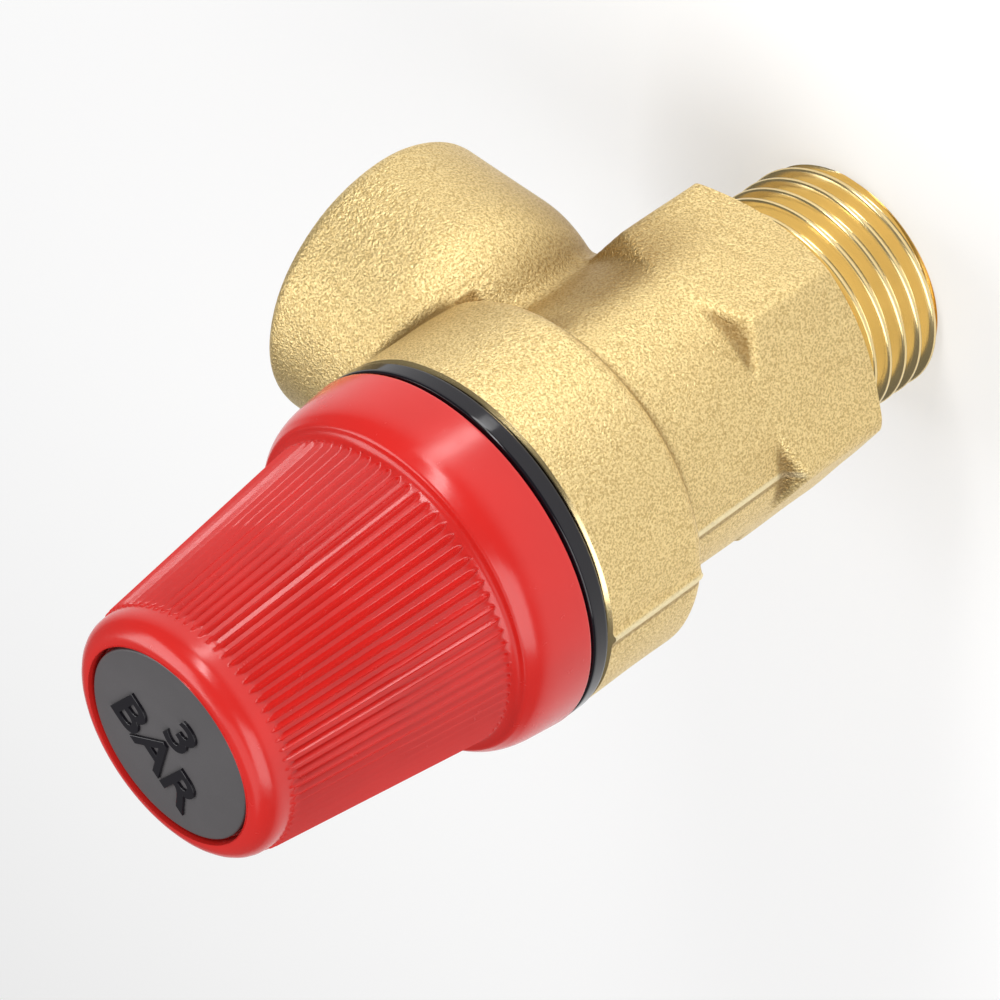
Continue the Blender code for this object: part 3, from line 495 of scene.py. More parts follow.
def blasted_brass(sizes, colours):
    """Hot-forged brass after sand blasting: a sharp, close grain and slow changes of tone, with brown painted
    shade in the corners between drum, barrel, hexagon and boss, under the boss, along the drum's back edge, on
    the hexagon's shoulders and beside the seam ridge, and a painted highlight along the ridge's crest."""
    finish = Finish("blasted_brass", colours.brass, 0.44, 1.0)
    grain = finish.noise(sizes.grain, 2.0, 0.65)
    pits = finish.noise(sizes.grain * 1.6, 1.0, 0.5, offset=0.013)
    drift = finish.noise(7.0, 2.0, 0.5, offset=0.05)
    x, y, z = finish.parts()
    r = (x * x + y * y) ** 0.5
    height_off = z - OUTLET_Z
    outlet = (y * y + height_off * height_off) ** 0.5 - BOSS_R
    barrel, drum = r - 12.6, r - DRUM_R
    cone = ((z - CONE_Z) + (r - CONE_R) * CONE_SLOPE) * 0.75
    # Painted shade: brown darkening in the hollow between boss and barrel that weakens higher up, on the boss's
    # underside, where the boss meets the drum's back, and in narrow bands along the boss's roots on barrel and
    # drum.
    corner_shade = corner(outlet, barrel, 7.5) * z.between(26.0, 33.0, 1.0, 0.55)
    shade_under_boss = outlet.size().between(0.5, 1.5, 1.0, 0.0) * z.between(17.0, 28.0, 1.0, 0.0)
    shade_near_drum = corner(outlet, z - 33.8, 2.0) * r.between(15.5, 18.0, 1.0, 0.0)
    corner_shade = corner_shade.most(shade_under_boss * x.between(10.0, 27.0, 1.0, 0.35), shade_near_drum,
                         corner(outlet, barrel, 2.2), corner(outlet, drum, 1.6))
    # Painted shade: a thin dark band along the drum's back edge, where it hangs over the barrel.
    shade_under_drum = z.between(34.2, 34.7, 1.0, 0.0) * z.between(31.8, 32.8) * r.between(15.9, 16.3, 1.0, 0.0)
    slant_x, slant_y = x * math.cos(math.radians(30.0)), y * math.sin(math.radians(30.0))
    prism = y.size().most((slant_x + slant_y).size(), (slant_x - slant_y).size()) - HEX_HALF
    # Painted shade on the hexagon's sloping shoulders, along the ends of the flats.
    hexed = cone.size().between(0.1, 0.6, 0.8, 0.0) * prism.between(-0.75, -0.1, 1.0, 0.0)
    hexed = hexed * r.between(12.9, 13.9, 1.0, 0.15)
    beside = x.between(-12.4, -12.1, 1.0, 0.0) * z.between(20.0, 21.5)  # the ridge's side of the body
    # Painted shade: a thin dark line on the +Y side of the seam ridge, just above the hexagon.
    ridge_side_shade = (y - 0.45).size().between(0.10, 0.40, 0.6, 0.0) * beside
    # All the painted shade masks together. The shade in the hollows counts only on the +X side, where the boss
    # stands.
    scale = (corner_shade * x.between(0.0, 4.0) * 0.8).most(shade_under_drum, hexed, ridge_side_shade)
    base = finish.mix(drift.between(0.3, 0.7), scaled(colours.brass, 0.97), scaled(colours.brass, 1.03))
    grained = finish.mix(grain.between(0.36, 0.60), (0.52, 0.35, 0.125), scaled(colours.brass, 1.18))
    base = finish.mix(0.72, base, grained)
    # Painted highlight: a pale line along the crest of the seam ridge.
    ridge_highlight = (y - SEAM_Y).size().between(0.15, 0.45, 0.8, 0.0) * beside
    base = finish.mix(ridge_highlight, base, (0.98, 0.86, 0.56))
    # The brass is darkened toward the brown painted shade colour by these masks.
    finish.feed("Base Color", finish.mix(scale * 0.88, base, colours.scale))
    finish.feed("Roughness", grain.between(0.35, 0.72, 0.48, 0.36))
    rough = finish.bump(pits, sizes.grain_depth * 0.9)
    finish.feed("Normal", finish.bump(grain, sizes.grain_depth, rough))
    return finish.material


def machined_brass(colours):
    """Brass as the tool left it: fine rings round the valve axis and a brighter, yellower tone."""
    finish = Finish("machined_brass", colours.cut_brass, 0.20, 1.0)
    lines = finish.lathe_lines(100.0, 3.0)
    stain = finish.noise(6.0, 2.0, 0.5)
    finish.feed("Base Color", finish.mix(stain.between(0.35, 0.70), colours.cut_brass,
                                         scaled(colours.cut_brass, 0.94)))
    finish.feed("Roughness", lines.between(0.3, 0.7, 0.17, 0.27))
    finish.feed("Normal", finish.bump(lines, 0.002))
    return finish.material


def bright_metal(name, colour, roughness):
    """Turned or plated metal with fine rings, faint stains and small scratches."""
    finish = Finish(name, colour, roughness, 1.0)
    lines = finish.lathe_lines(120.0, 2.0)
    stain = finish.noise(1.6, 3.0, 0.6)
    finish.feed("Base Color", finish.mix(stain.between(0.3, 0.7), colour, scaled(colour, 0.85)))
    finish.feed("Roughness", (lines * 0.10 + stain * 0.12) + (roughness - 0.10))
    finish.feed("Normal", finish.bump(lines, 0.003))
    return finish.material


def moulded_plastic(name, colour, roughness, texture, depth, shine=0.5):
    """Moulded plastic: an even colour with slow drift, a fine mould grain and light rubbing marks."""
    finish = Finish(name, colour, roughness, **{"IOR": 1.50, "Specular IOR Level": shine})
    drift = finish.noise(9.0, 2.0, 0.5)
    skin = finish.noise(texture, 2.0, 0.5)
    rubbed = finish.noise(1.3, 4.0, 0.65, offset=0.02)
    finish.feed("Base Color", finish.mix(drift.between(0.3, 0.7), scaled(colour, 0.95), scaled(colour, 1.04)))
    finish.feed("Roughness", (rubbed.between(0.45, 0.75) * 0.06 + skin * 0.04) + (roughness - 0.04))
    finish.feed("Normal", finish.bump(skin, depth))
    return finish.material


def soft_rubber(colours):
    """Matt moulded elastomer with a dusty bloom."""
    finish = Finish("soft_rubber", colours.rubber, 0.7)
    bloom = finish.noise(1.1, 4.0, 0.6)
    skin = finish.noise(0.2, 2.0, 0.5)
    finish.feed("Base Color", finish.mix(bloom.between(0.4, 0.75), colours.rubber, scaled(colours.rubber, 1.8)))
    finish.feed("Roughness", bloom.between(0.3, 0.7, 0.62, 0.80))
    finish.feed("Normal", finish.bump(skin, 0.01))
    return finish.material


@cache
def finishes():
    """Every finish by name, made once."""
    sizes, colours = bpy.context.scene.valve_sizes, bpy.context.scene.valve_colours
    return {
        "blasted": blasted_brass(sizes, colours),
        "machined": machined_brass(colours),
        "turned": bright_metal("turned_brass_finish", colours.cut_brass, 0.24),
        "steel": bright_metal("zinc_steel_finish", colours.steel, 0.30),
        "red": moulded_plastic("red_moulding", colours.knob, 0.24, 0.9, 0.002),
        "black": moulded_plastic("black_nylon_moulding", colours.bonnet, 0.11, 0.9, 0.001, shine=0.4),
        "grey": moulded_plastic("grey_moulding", colours.insert, 0.42, 0.16, 0.012),
        "white": moulded_plastic("acetal_moulding", colours.acetal, 0.45, 0.3, 0.004),
        "rubber": soft_rubber(colours),
    }


# ---- settings

def size_setting(name, description, default):
    return FloatProperty(name=name, description=description + " in mm", default=default)


def colour_setting(name, piece, default):
    return FloatVectorProperty(name=name, description="Colour of " + piece, subtype="COLOR", size=3,
                               min=0.0, max=1.0, default=default)


class VALVE_PG_sizes(bpy.types.PropertyGroup):
    """Sizes of the visible detail, in millimetres."""
    flute_count: IntProperty(name="Flutes", description="Grip flutes round the knob", default=80, min=24)
    flute_depth: size_setting("Flute depth", "Depth of a grip flute", 0.52)
    fillet: size_setting("Fillet", "Reach of the forging's fillets", 1.1)
    drum_edge: size_setting("Drum edge", "Radius of the drum's back edge", 1.7)
    seam_ridge: size_setting("Seam ridge", "Radius of the seam's ridge", 0.35)
    mesh_step: size_setting("Mesh step", "Cell size of the forging's mesh", 0.36)
    grain: size_setting("Grain", "Size of the blasted grain", 0.19)
    grain_depth: size_setting("Grain depth", "Depth of the blasted grain", 0.11)
    text_size: size_setting("Rating size", "Height of the rating's letters", 4.2)


class VALVE_PG_colours(bpy.types.PropertyGroup):
    """Colours of the finishes."""
    brass: colour_setting("Blasted brass", "the forged surface", (0.82, 0.64, 0.31))
    # Painted shade colour: the forging's brass is darkened toward this brown in its corners, under the boss,
    # along the drum's back edge, on the hexagon's shoulders and beside the seam ridge.
    scale: colour_setting("Scale", "the brown scale in corners", (0.24, 0.13, 0.035))
    cut_brass: colour_setting("Machined brass", "threads and cut faces", (0.90, 0.71, 0.36))
    steel: colour_setting("Steel", "plated steel pieces", (0.62, 0.62, 0.63))
    knob: colour_setting("Knob", "the release knob", (0.61, 0.018, 0.014))
    bonnet: colour_setting("Bonnet", "the spring housing", (0.007, 0.006, 0.009))
    insert: colour_setting("Insert", "the knob's disc", (0.085, 0.080, 0.083))
    acetal: colour_setting("Slip ring", "the slip ring", (0.80, 0.80, 0.77))
    rubber: colour_setting("Rubber", "seal and diaphragm", (0.028, 0.028, 0.028))


# ---- pieces

def stands_for(piece, node):
    """Lets a piece ride on the body of a frame node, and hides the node."""
    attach(piece, frame["nodes"][node]["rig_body"])
    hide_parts(node)
    return piece


class Step:
    """A build step: it makes its pieces from the sizes and the finishes."""

    def execute(self, context):
        self.build(context.scene.valve_sizes, finishes())
        return {"FINISHED"}


class VALVE_OT_body(Step, bpy.types.Operator):
    """Forged body with its machined bores, faces and outlet thread"""
    bl_idname = "valve.body"
    bl_label = "Valve body"

    def build(self, sizes, done):
        points, faces = level_surface(lambda p: forging_distance(p, sizes), (-17.1, -17.2, 7.4),
                                      (28.3, 17.2, 47.6), sizes.mesh_step)
        body = add_piece("valve_body_forging", points, faces, done["blasted"])
        cut_away(body, self.axis_cutter(done["machined"]))
        cut_away(body, self.socket_cutter(done["machined"]))
        stands_for(body, "valve_body")

    def axis_cutter(self, finish):
        """All that a lathe removes round the valve axis: below the hexagon and its chamfer, the bore, the
        chamber round the seat, the diaphragm's ledge, the drum's bore and its front face."""
        outline = [(0.0, 4.0), (22.0, 4.0), (22.0, 16.12), (12.1, HEX_BOTTOM_Z), (BORE_R, HEX_BOTTOM_Z),
                   (BORE_R, 25.0), (7.4, 25.0), (8.3, 21.6), (10.6, 21.6), (10.6, 34.0), (11.6, 35.0),
                   (11.6, 37.1), (13.6, 37.1), (13.6, 44.8), (14.0, DRUM_FRONT_Z), (15.62, DRUM_FRONT_Z),
                   (17.6, 43.2), (22.0, 43.2), (22.0, 52.0), (0.0, 52.0)]
        return add_piece("axis_cutter", *revolved(*swept(outline, 160)), finish)

    def socket_cutter(self, finish):
        """The outlet's passage and thread, and the boss's end face. The thread's radius is the minor one
        plus its share of the depth, never less than the mouth's chamfer."""
        rows = np.arange(15.2, BOSS_END_X - 0.01, 0.15)
        plain = [(0.0, 8.6), (7.2, 8.6), (7.2, 14.6), (THREAD_MINOR_R, 14.6), (THREAD_MINOR_R, 15.0)]
        radius, along, angle = swept(
            plain + [(THREAD_MINOR_R, x) for x in rows]
            + [(MOUTH_R, BOSS_END_X), (20.0, BOSS_END_X), (20.0, 34.0), (0.0, 34.0)], 144)
        threaded = slice(len(plain), len(plain) + len(rows))
        share = thread_height(along[threaded], angle[threaded])
        fade = np.clip((along[threaded] - 15.6) / 1.2, 0.0, 1.0)
        depth = (THREAD_MAJOR_R - THREAD_MINOR_R) * share * fade
        mouth = MOUTH_R - (BOSS_END_X - along[threaded])
        radius[threaded] = np.maximum(THREAD_MINOR_R + depth, mouth)
        points, faces = revolved(radius, along, angle)
        return add_piece("socket_cutter", along_outlet(points), faces, finish)


class VALVE_OT_inlet_thread(Step, bpy.types.Operator):
    """Male pipe thread under the hexagon"""
    bl_idname = "valve.inlet_thread"
    bl_label = "Inlet thread"

    def build(self, sizes, done):
        """Every row of the outside climbs with the helix, one pitch in a turn, so that a row's end meets the
        start of the row one pitch above, and heights stop at the two end faces. The radius is the minor one
        plus the thread's share of the depth, never more than the chamfers at the end face and at the
        undercut. The inner rows are the bore with its chamfered mouth."""
        columns, per_pitch = 200, 20
        angle = np.arange(columns) * math.tau / columns
        start = np.arange(-THREAD_PITCH, HEX_BOTTOM_Z + 0.1, THREAD_PITCH / per_pitch)
        height = np.clip(start[:, None] + THREAD_PITCH * angle[None] / math.tau, 0.0, HEX_BOTTOM_Z)
        share = thread_height(height, angle[None] + 0 * height)
        undercut_z, undercut_slope, end_r = 9.75, 1.3, 9.98
        undercut = THREAD_MINOR_R + np.maximum(undercut_z - height, 0.0) * undercut_slope
        radius = THREAD_MINOR_R + (THREAD_MAJOR_R - THREAD_MINOR_R) * share
        radius = np.minimum(np.minimum(radius, end_r + height), undercut)
        count = len(start)
        row, column = np.meshgrid(np.arange(count - 1), np.arange(columns), indexing="ij")

        def point(row, column):
            past_seam = column == columns
            return np.where(past_seam, np.minimum(row + per_pitch, count - 1), row) * columns + column % columns

        outside = np.stack([point(row, column), point(row, column + 1), point(row + 1, column + 1),
                            point(row + 1, column)], -1)
        top = (BORE_R + 0.02, HEX_BOTTOM_Z)
        inner = softened([top, (BORE_R, 0.8), (BORE_R + 0.8, 0.0)], 0.1)[2:-2]
        inner = np.concatenate([[top], inner, [[9.9, 0.0]]])
        within = (np.arange(len(inner) + 1)[:, None] + count - 1) * columns
        above = np.where(within + columns < (count + len(inner)) * columns, within + columns, 0)
        beside = (np.arange(columns) + 1) % columns
        inside = np.stack([within + np.arange(columns), within + beside, above + beside,
                           above + np.arange(columns)], -1).reshape(-1, 4)
        radius = np.concatenate([radius, np.repeat(inner[:, :1], columns, 1)])
        height = np.concatenate([height, np.repeat(inner[:, 1:], columns, 1)])
        points = polar(radius, angle[None], height).reshape(-1, 3)
        points, faces = welded(points, np.concatenate([outside.reshape(-1, 4), inside]))
        thread = add_piece("inlet_thread", points, [faces], done["machined"], sharp=38.0)
        stands_for(thread, "valve_body")


class VALVE_OT_knob(Step, bpy.types.Operator):
    """Fluted release knob with its inner web and cam teeth"""
    bl_idname = "valve.knob"
    bl_label = "Release knob"

    def build(self, sizes, done):
        """The outline is turned round the axis. Between the collar and the nose the radius is the greater of
        the smooth outline and a fluted cone: a straight cone less depth ((1 - cos(count angle)) / 2)^0.55,
        which drops away with the square of the height past its two ends."""
        count, columns_per_flute = sizes.flute_count, 10
        foot_z, tip_z, foot_steepness, tip_steepness, sharpness = 54.15, 74.3, 1.6, 1.2, 0.55
        shaft_r, shaft_low = 13.22, 54.75
        collar = np.concatenate([
            bend((15.85, 47.4), (16.1, 47.4), (16.07, 47.65), 4), [(15.78, 50.2)],
            bend((15.72, 50.7), (15.52, 52.0), (15.08, 52.66), 9),
            bend((14.86, 52.95), (14.68, 53.26), (14.46, 53.30), 6)])
        hollow = bend((14.34, 53.31), (13.42, 53.35), (shaft_r, shaft_low), 12)
        shaft_z = np.concatenate([[55.0, 55.5], np.linspace(56.5, 73.0, 9), [73.6, 73.95]])
        shaft = np.stack([shaft_r - CONE_FALL * (shaft_z - shaft_low), shaft_z], -1)
        band = np.stack([np.full(8, 10.75), np.linspace(74.15, 75.1, 8)], -1)
        turn = np.radians(np.linspace(0.0, 90.0, 8))
        nose = np.stack([8.85 + 1.9 * np.cos(turn), 75.35 + 1.9 * np.sin(turn)], -1)
        inside = softened([(8.74, 77.4), (8.74, 76.0), (7.6, 76.0), (7.6, 71.1), (2.4, 71.1), (2.4, 69.7),
                           (9.55, 69.7), (11.55, 54.3), (13.75, 51.8), (14.4, 47.4), (15.85, 47.4)], 0.12, 2)
        line = np.concatenate([collar, hollow, shaft, band, nose, inside[:-5]])
        radius, height, angle = swept(line, count * columns_per_flute)
        fluted = slice(len(collar), len(collar) + len(hollow) + len(shaft) + len(band))
        z = height[fluted]
        past = np.maximum(foot_z - z, 0.0) * foot_steepness + np.maximum(z - tip_z, 0.0) * tip_steepness
        wave = ((1 - np.cos(count * angle[fluted])) / 2) ** sharpness
        cone = 13.70 - CONE_FALL * (z - 54.25) - sizes.flute_depth * wave - past ** 2
        radius[fluted] = np.maximum(radius[fluted], cone)
        points, blocks = revolved(radius, height, angle)
        for i in range(3):
            tooth, walls = self.tooth(math.radians(RAMP_SPACING * i))
            blocks += [np.asarray(wall) + len(points) for wall in walls]
            points = np.concatenate([points, tooth])
        knob = add_piece("release_knob", points, blocks, done["red"], sharp=50.0)
        stands_for(knob, "knob")

    def tooth(self, last):
        """A block bent round the axis that rides on a cam ramp: four corners carried along an arc, closed
        by a face at each end."""
        steps, width = 9, 24.0
        angle = last - math.radians(width) * np.linspace(1.0, 0.0, steps)
        r = np.array([7.4, 8.6, 8.6, 7.4])
        z = np.array([67.9, 67.9, 69.9, 69.9])
        points = polar(r, angle[:, None], z).reshape(-1, 3)
        i, j = np.meshgrid(np.arange(steps - 1), np.arange(4), indexing="ij")
        k = (j + 1) % 4
        walls = np.stack([i * 4 + j, i * 4 + k, (i + 1) * 4 + k, (i + 1) * 4 + j], -1).reshape(-1, 4)
        end = (steps - 1) * 4
        return points, [walls[:, ::-1], [[0, 1, 2, 3]], [[end + 3, end + 2, end + 1, end]]]


class VALVE_OT_insert(Step, bpy.types.Operator):
    """Disc in the knob's nose with its raised pressure rating"""
    bl_idname = "valve.insert"
    bl_label = "Rating disc"

    def build(self, sizes, done):
        low, high = heights("knob_insert")
        seat = high - 0.8
        outline = [(0.0, seat), (6.55, seat), (6.55, low), (7.25, low), (7.25, seat), (8.40, seat),
                   (8.40, high), (0.0, high)]
        disc = turned("rating_disc", outline, done["grey"], columns=160, size=0.16, sharp=50.0)
        stands_for(disc, "knob_insert")
        for name, words, drop in (("rating_number", "3", 0.0), ("rating_unit", "BAR", -1.0)):
            letters = self.raised(name, words, drop, high, sizes.text_size, done["black"])
            stands_for(letters, "knob_insert")

    def raised(self, name, words, line, high, size, finish):
        """Plain raised letters, one line above or below the disc's middle."""
        em_share, line_share, reading_turn = 1.32, 1.12, 142.0
        letters = bpy.data.curves.new(name, "FONT")
        letters.body = words
        letters.size = size * em_share * MM
        letters.align_x, letters.align_y = "CENTER", "CENTER"
        letters.extrude, letters.bevel_depth, letters.bevel_resolution = 0.16 * MM, 0.05 * MM, 1
        letters.offset = 0.07 * MM
        shape = linked(name + "_text", letters)
        mesh = solved(shape)
        bpy.data.objects.remove(shape)
        lift = Matrix.Translation((0.0, (line + 0.5) * size * line_share * MM, (high + 0.02) * MM))
        mesh.transform(Matrix.Rotation(math.radians(reading_turn), 4, "Z") @ lift)
        mesh.materials.clear()
        mesh.materials.append(finish)
        mesh.set_sharp_from_angle(angle=math.radians(35.0))
        return linked(name, mesh)


class VALVE_OT_bonnet(Step, bpy.types.Operator):
    """Spring housing with its glossy flange and cam ramps"""
    bl_idname = "valve.bonnet"
    bl_label = "Bonnet"

    def build(self, sizes, done):
        """The outline is turned round the axis, and the height of the tube's top follows three ramps of
        80 degrees, each with a level part of 10 degrees and a drop."""
        low, reach_r, top = heights("bonnet")[0], reach("bonnet"), 66.6
        outline = [(11.8, low), (13.3, low), (13.3, 45.5), (reach_r, 45.5), (reach_r, 47.1), (12.9, 47.1),
                   (8.75, 51.0), (8.75, top), (7.25, top), (7.25, 49.4), (11.8, 44.6)]
        radius, height, angle = swept(softened(outline, 0.28, 4), 360)
        along = np.mod(np.degrees(angle) - 0.5, RAMP_SPACING)
        rise = 1.0 + RAMP_RISE * np.clip(along / RAMP_LENGTH, 0.0, 1.0) * (along <= RAMP_END)
        height += np.where(height > top - 0.35, rise, 0.0)
        bonnet = add_piece("bonnet_housing", *revolved(radius, height, angle), done["black"], sharp=50.0)
        stands_for(bonnet, "bonnet")


class VALVE_OT_seal(Step, bpy.types.Operator):
    """Seal disc, its holder, washer and screw, seen through the inlet and the outlet"""
    bl_idname = "valve.seal"
    bl_label = "Seal and holder"

    def build(self, sizes, done):
        stands_for(ring("seal_rubber", 1.8, "seal_disc", done["rubber"], 0.25), "seal_disc")
        stands_for(ring("seal_backing_washer", 1.8, "seal_washer", done["steel"]), "seal_washer")
        holder = turned("holder_cup", [
            (9.3, 26.3), (9.9, 26.3), (9.9, 30.0), (4.0, 30.0), (4.0, 35.6), (9.0, 35.6), (9.0, 37.1),
            (SPINDLE_HOLE_R, 37.1), (SPINDLE_HOLE_R, 31.6), (0.0, 31.6), (0.0, 30.6), (1.8, 30.6),
            (1.8, 28.0), (9.3, 28.0)],
            done["turned"], size=0.18)
        stands_for(holder, "seal_holder")
        low, high = heights("seal_screw")
        screw = turned("seal_cap_screw", [
            (0.0, low + 0.75), (1.25, low + 0.75), (1.25, low), (2.8, low), (2.8, low + 1.5), (1.5, low + 1.5),
            (1.5, high), (0.0, high)], done["steel"], columns=96, size=0.3)
        stands_for(screw, "seal_screw")


class VALVE_OT_inner(Step, bpy.types.Operator):
    """Diaphragm, washers, plate, spindle, nuts, spring and setting nut inside the bonnet"""
    bl_idname = "valve.inner"
    bl_label = "Inner pieces"

    def build(self, sizes, done):
        stands_for(self.diaphragm(done["rubber"]), "diaphragm")
        for name, inner_r, node, finish, slot in (
                ("slip_ring_acetal", 11.8, "slip_ring", "white", "white_acetal"),
                ("clamp_washer", SPINDLE_HOLE_R, "diaphragm_washer", "steel", "steel"),
                ("spring_top_washer", SPINDLE_HOLE_R, "spring_washer", "steel", "steel"),
                ("knob_thrust_washer", 2.4, "thrust_washer", "steel", "steel")):
            stands_for(ring(name, inner_r, node, done[finish]), node)
        low, high = heights("spring_plate")
        middle, rim_r, hub_r = (low + high) / 2, 8.6, 4.6
        plate = turned("spring_seat", [
            (SPINDLE_HOLE_R, low), (rim_r, low), (rim_r, middle), (hub_r, middle), (hub_r, high),
            (SPINDLE_HOLE_R, high)], done["turned"])
        stands_for(plate, "spring_plate")
        low, high = heights("spindle")
        rod = turned("valve_spindle", [(0.0, low), (2.0, low), (2.0, high - 0.4), (1.6, high), (0.0, high)],
                     done["turned"], columns=64)
        stands_for(rod, "spindle")
        for name, node, flats in (("clamp_nut", "plate_nut", 6.5), ("lift_nut", "spindle_nut", 7.0)):
            stands_for(self.nut(name, node, flats, done["steel"]), node)
        self.spring(done["steel"])
        stands_for(self.setting_nut(done["turned"]), "setting_nut")

    def diaphragm(self, finish):
        """A rubber sheet whose height over the fold is sin^2 of the share of the way across it."""
        low, high = heights("diaphragm")
        thick, fold_start, fold_width, rim_r = 1.0, 9.3, 2.2, 13.3
        share = np.linspace(0.0, 1.0, 13)
        lift = np.sin(np.pi * share) ** 2 * (high - low - thick)
        fold = [(fold_start + fold_width * s, low + u) for s, u in zip(share, lift)]
        under = [(SPINDLE_HOLE_R, low), *fold, (rim_r, low)]
        over = [(r, z + thick) for r, z in reversed(under)]
        return turned("diaphragm_sheet", under + over, finish, size=0.1)

    def nut(self, name, node, flats, finish):
        """A hexagon nut. Its outer radius is flats / 2 / cos of the angle from the nearest flat's middle,
        and its top and bottom edges fall back by half the distance that the corner reaches past a flat."""
        low, high = heights(node)
        half, columns, edge = flats / 2, 96, 0.05
        angle = np.arange(columns) * math.tau / columns
        hexed = half / np.cos(np.mod(angle, math.pi / 3) - math.pi / 6)
        fall = (hexed / half - 0.985) * half * 0.5
        inner = np.full(columns, SPINDLE_HOLE_R)
        rings = [(inner, low), (hexed * 0.9, low), (hexed, low + fall), (hexed, low + fall + edge),
                 (hexed, high - fall - edge), (hexed, high - fall), (hexed * 0.9, high), (inner, high)]
        radius, height = (np.stack([r[i] + 0 * angle for r in rings]) for i in (0, 1))
        return add_piece(name, *revolved(radius, height, angle + 0 * radius), finish, sharp=25.0)

    def spring(self, finish):
        """A round wire carried along a helix whose ends lie close and flat. The wire's centre is (R cos a,
        R sin a, h(a)), and each ring is drawn across the direction of travel. It is made as a lower and an
        upper half."""
        turns, per_turn, sides, wire, mean_r, close, close_pitch = 8.0, 48, 16, 0.9, 5.9, 1.1, 2.1
        low, high = heights("spring")
        turn = np.linspace(0.0, turns, int(turns * per_turn) + 1)
        closed = wire + close_pitch * close
        ease = np.interp(turn, [0, close, turns - close, turns],
                         [low + wire, low + closed, high - closed, high - wire])
        angle = math.tau * turn
        middle = polar(mean_r, angle, ease)
        travel = np.gradient(middle, axis=0)
        travel /= np.linalg.norm(travel, axis=1, keepdims=True)
        out = polar(1.0, angle, 0.0)
        up = np.cross(travel, out)
        round_angle = np.arange(sides) * math.tau / sides
        size = np.full((len(turn), 1, 1), wire)
        size[[0, -1]] *= 0.86
        points = middle[:, None] + size * (
            out[:, None] * np.cos(round_angle)[:, None] + up[:, None] * np.sin(round_angle)[:, None])
        half, centre = len(turn) // 2, (low + high) / 2
        flat = 2.5 * wire
        for name, rows, bodies, ends in (
                ("load_spring_lower", slice(0, half + 1), ("spindle", "lifter"), (low + flat, centre - wire)),
                ("load_spring_upper", slice(half, None), ("lifter", "body"), (centre + wire, high - flat))):
            rings = points[rows]
            count = len(rings) * sides
            caps = [[list(range(sides))], [list(range(count - 1, count - sides - 1, -1))]]
            faces = grid_faces(len(rings), sides)[:, ::-1]
            coil = add_piece(name, rings.reshape(-1, 3), [faces, *caps], finish, sharp=60.0)
            ends[0] * MM
            ends[1] * MM
            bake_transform(coil)
            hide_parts("spring")

    def setting_nut(self, finish):
        """A round nut with a driver slot cut across its top."""
        low, high = heights("setting_nut")
        hole_r, outer_r, half_length, half_width, depth, above = 2.6, 6.95, 9.0, 0.8, 1.4, 2.0
        nut = turned("load_setting_nut", [(hole_r, low), (outer_r, low), (outer_r, high), (hole_r, high)],
                     finish, size=0.3)
        x, y, z = np.meshgrid([-half_length, half_length], [-half_width, half_width],
                              [high - depth, high + above], indexing="ij")
        box = np.stack([x, y, z], -1).reshape(-1, 3)
        sides = [[0, 1, 3, 2], [4, 6, 7, 5], [0, 4, 5, 1], [2, 3, 7, 6], [0, 2, 6, 4], [1, 5, 7, 3]]
        return cut_away(nut, add_piece("slot_cutter", box, [sides], finish, smooth=False))


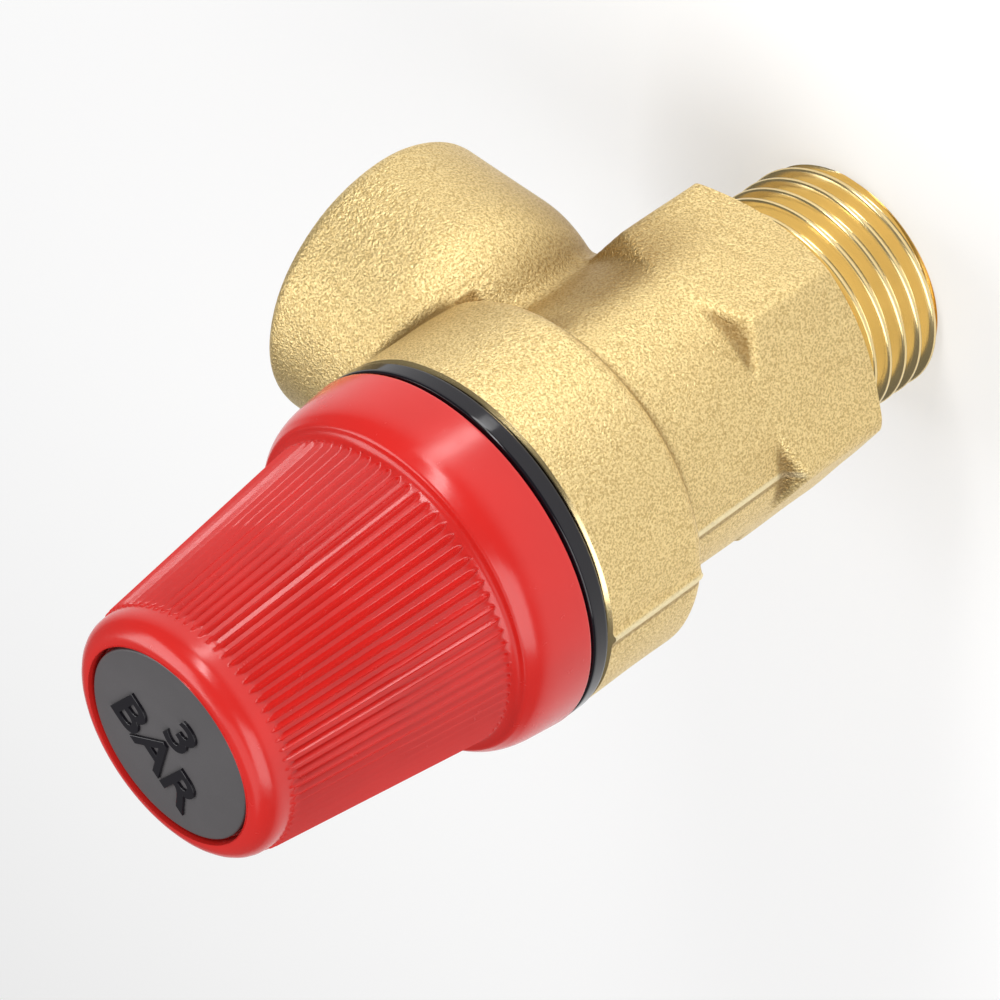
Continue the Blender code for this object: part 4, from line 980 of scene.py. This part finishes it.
class VALVE_OT_stage(bpy.types.Operator):
    """Pale floor, soft lights and the camera"""
    bl_idname = "valve.stage"
    bl_label = "Stage"

    def execute(self, context):
        scene = context.scene
        scene.view_settings.view_transform = "Standard"
        self.floor()
        self.camera(scene)
        for name, direction, distance, size, power in (
                ("key", (0.03, -0.86, 0.50), 0.35, (0.055, 0.20), 0.43),
                ("strip", (0.14, -1.0, 0.0), 0.088, (0.014, 0.074), 0.022),
                ("side", (-0.82, -0.03, 0.57), 0.40, (0.35, 0.30), 1.00),
                ("crown", (0.50, 0.0, 0.87), 0.35, (0.26, 0.22), 0.62),
                ("back", (-0.19, 0.32, 0.93), 0.40, (0.26, 0.26), 0.22)):
            self.light(name, direction, distance, size, power)
        world = bpy.data.worlds.new("studio")
        world.use_nodes = True
        background = world.node_tree.nodes["Background"].inputs
        background["Color"].default_value = (1.0, 1.0, 1.0, 1.0)
        background["Strength"].default_value = 0.18
        scene.world = world
        return {"FINISHED"}

    def floor(self):
        """A wide pale sheet, a hair's breadth under the inlet's end. It glows faintly, as a lit table does."""
        half, height = 3000.0, -0.02
        x, y = np.meshgrid([-half, half], [-half, half], indexing="ij")
        corners = np.stack([x, y, np.full_like(x, height)], -1).reshape(-1, 3)
        paint = Finish("pale_floor", (0.55, 0.55, 0.55), 0.9, **{
            "Emission Color": (1.0, 1.0, 1.0, 1.0), "Emission Strength": 0.42, "Specular IOR Level": 0.0})
        marks = paint.noise(400.0)
        paint.feed("Roughness", marks.between(0.3, 0.7, 0.85, 0.95))
        add_piece("floor", corners, [[[0, 2, 3, 1]]], paint.material, smooth=False)

    def camera(self, scene):
        """A long lens that looks at the knob's end, rolled so that the knob points down and to the left."""
        lens = bpy.data.cameras.new("view")
        lens.sensor_width, lens.lens = 36.0, 204.23
        lens.clip_start, lens.clip_end = 0.05, 20.0
        holder = linked("view", lens)
        holder.matrix_world = Matrix((
            (-0.713326, 0.506587, -0.484289, -0.217037), (-0.028949, -0.711722, -0.701857, -0.316166),
            (-0.700232, -0.486640, 0.522360, 0.275342), (0.0, 0.0, 0.0, 1.0)))
        scene.camera = holder

    def light(self, name, direction, distance, size, power):
        """An area light at a distance in metres along a direction from the valve's middle, turned to face
        it. Its size is in metres and its power in watts."""
        valve_middle = [0.0, 0.0, 0.038]
        lamp = bpy.data.lights.new(name, "AREA")
        lamp.shape = "RECTANGLE"
        lamp.size, lamp.size_y = size
        lamp.energy = power
        holder = linked(name, lamp)
        holder.visible_camera = False
        back = np.array(direction) / np.linalg.norm(direction)
        side = np.cross([0.0, 0.0, 1.0], back)
        side /= np.linalg.norm(side)
        turn = np.eye(4)
        turn[:3, :3] = np.stack([side, np.cross(back, side), back], -1)
        turn[:3, 3] = back * distance + valve_middle
        holder.matrix_world = Matrix(turn.tolist())


class VALVE_PT_panel(bpy.types.Panel):
    """Sizes, colours and build steps"""
    bl_idname = "VALVE_PT_panel"
    bl_label = "Relief valve"
    bl_space_type = "VIEW_3D"
    bl_region_type = "UI"
    bl_category = "Relief valve"

    def draw(self, context):
        for group in (context.scene.valve_sizes, context.scene.valve_colours):
            column = self.layout.column()
            for name in group.bl_rna.properties.keys():
                if name not in ("rna_type", "name"):
                    column.prop(group, name)
        for step in STEPS:
            self.layout.operator(step.bl_idname)


STEPS = (VALVE_OT_body, VALVE_OT_inlet_thread, VALVE_OT_knob, VALVE_OT_insert, VALVE_OT_bonnet,
         VALVE_OT_seal, VALVE_OT_inner, VALVE_OT_stage)
CLASSES = (VALVE_PG_sizes, VALVE_PG_colours, *STEPS, VALVE_PT_panel)


def register():
    for each in CLASSES:
        bpy.utils.register_class(each)
    bpy.types.Scene.valve_sizes = PointerProperty(type=VALVE_PG_sizes)
    bpy.types.Scene.valve_colours = PointerProperty(type=VALVE_PG_colours)


def unregister():
    del bpy.types.Scene.valve_sizes
    del bpy.types.Scene.valve_colours
    for each in reversed(CLASSES):
        bpy.utils.unregister_class(each)


def main():
    """Registers the add-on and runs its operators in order."""
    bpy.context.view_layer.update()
    register()
    for step in (bpy.ops.valve.body, bpy.ops.valve.inlet_thread, bpy.ops.valve.knob, bpy.ops.valve.insert,
                 bpy.ops.valve.bonnet, bpy.ops.valve.seal, bpy.ops.valve.inner, bpy.ops.valve.stage):
        step()


if __name__ == "__main__":
    main()
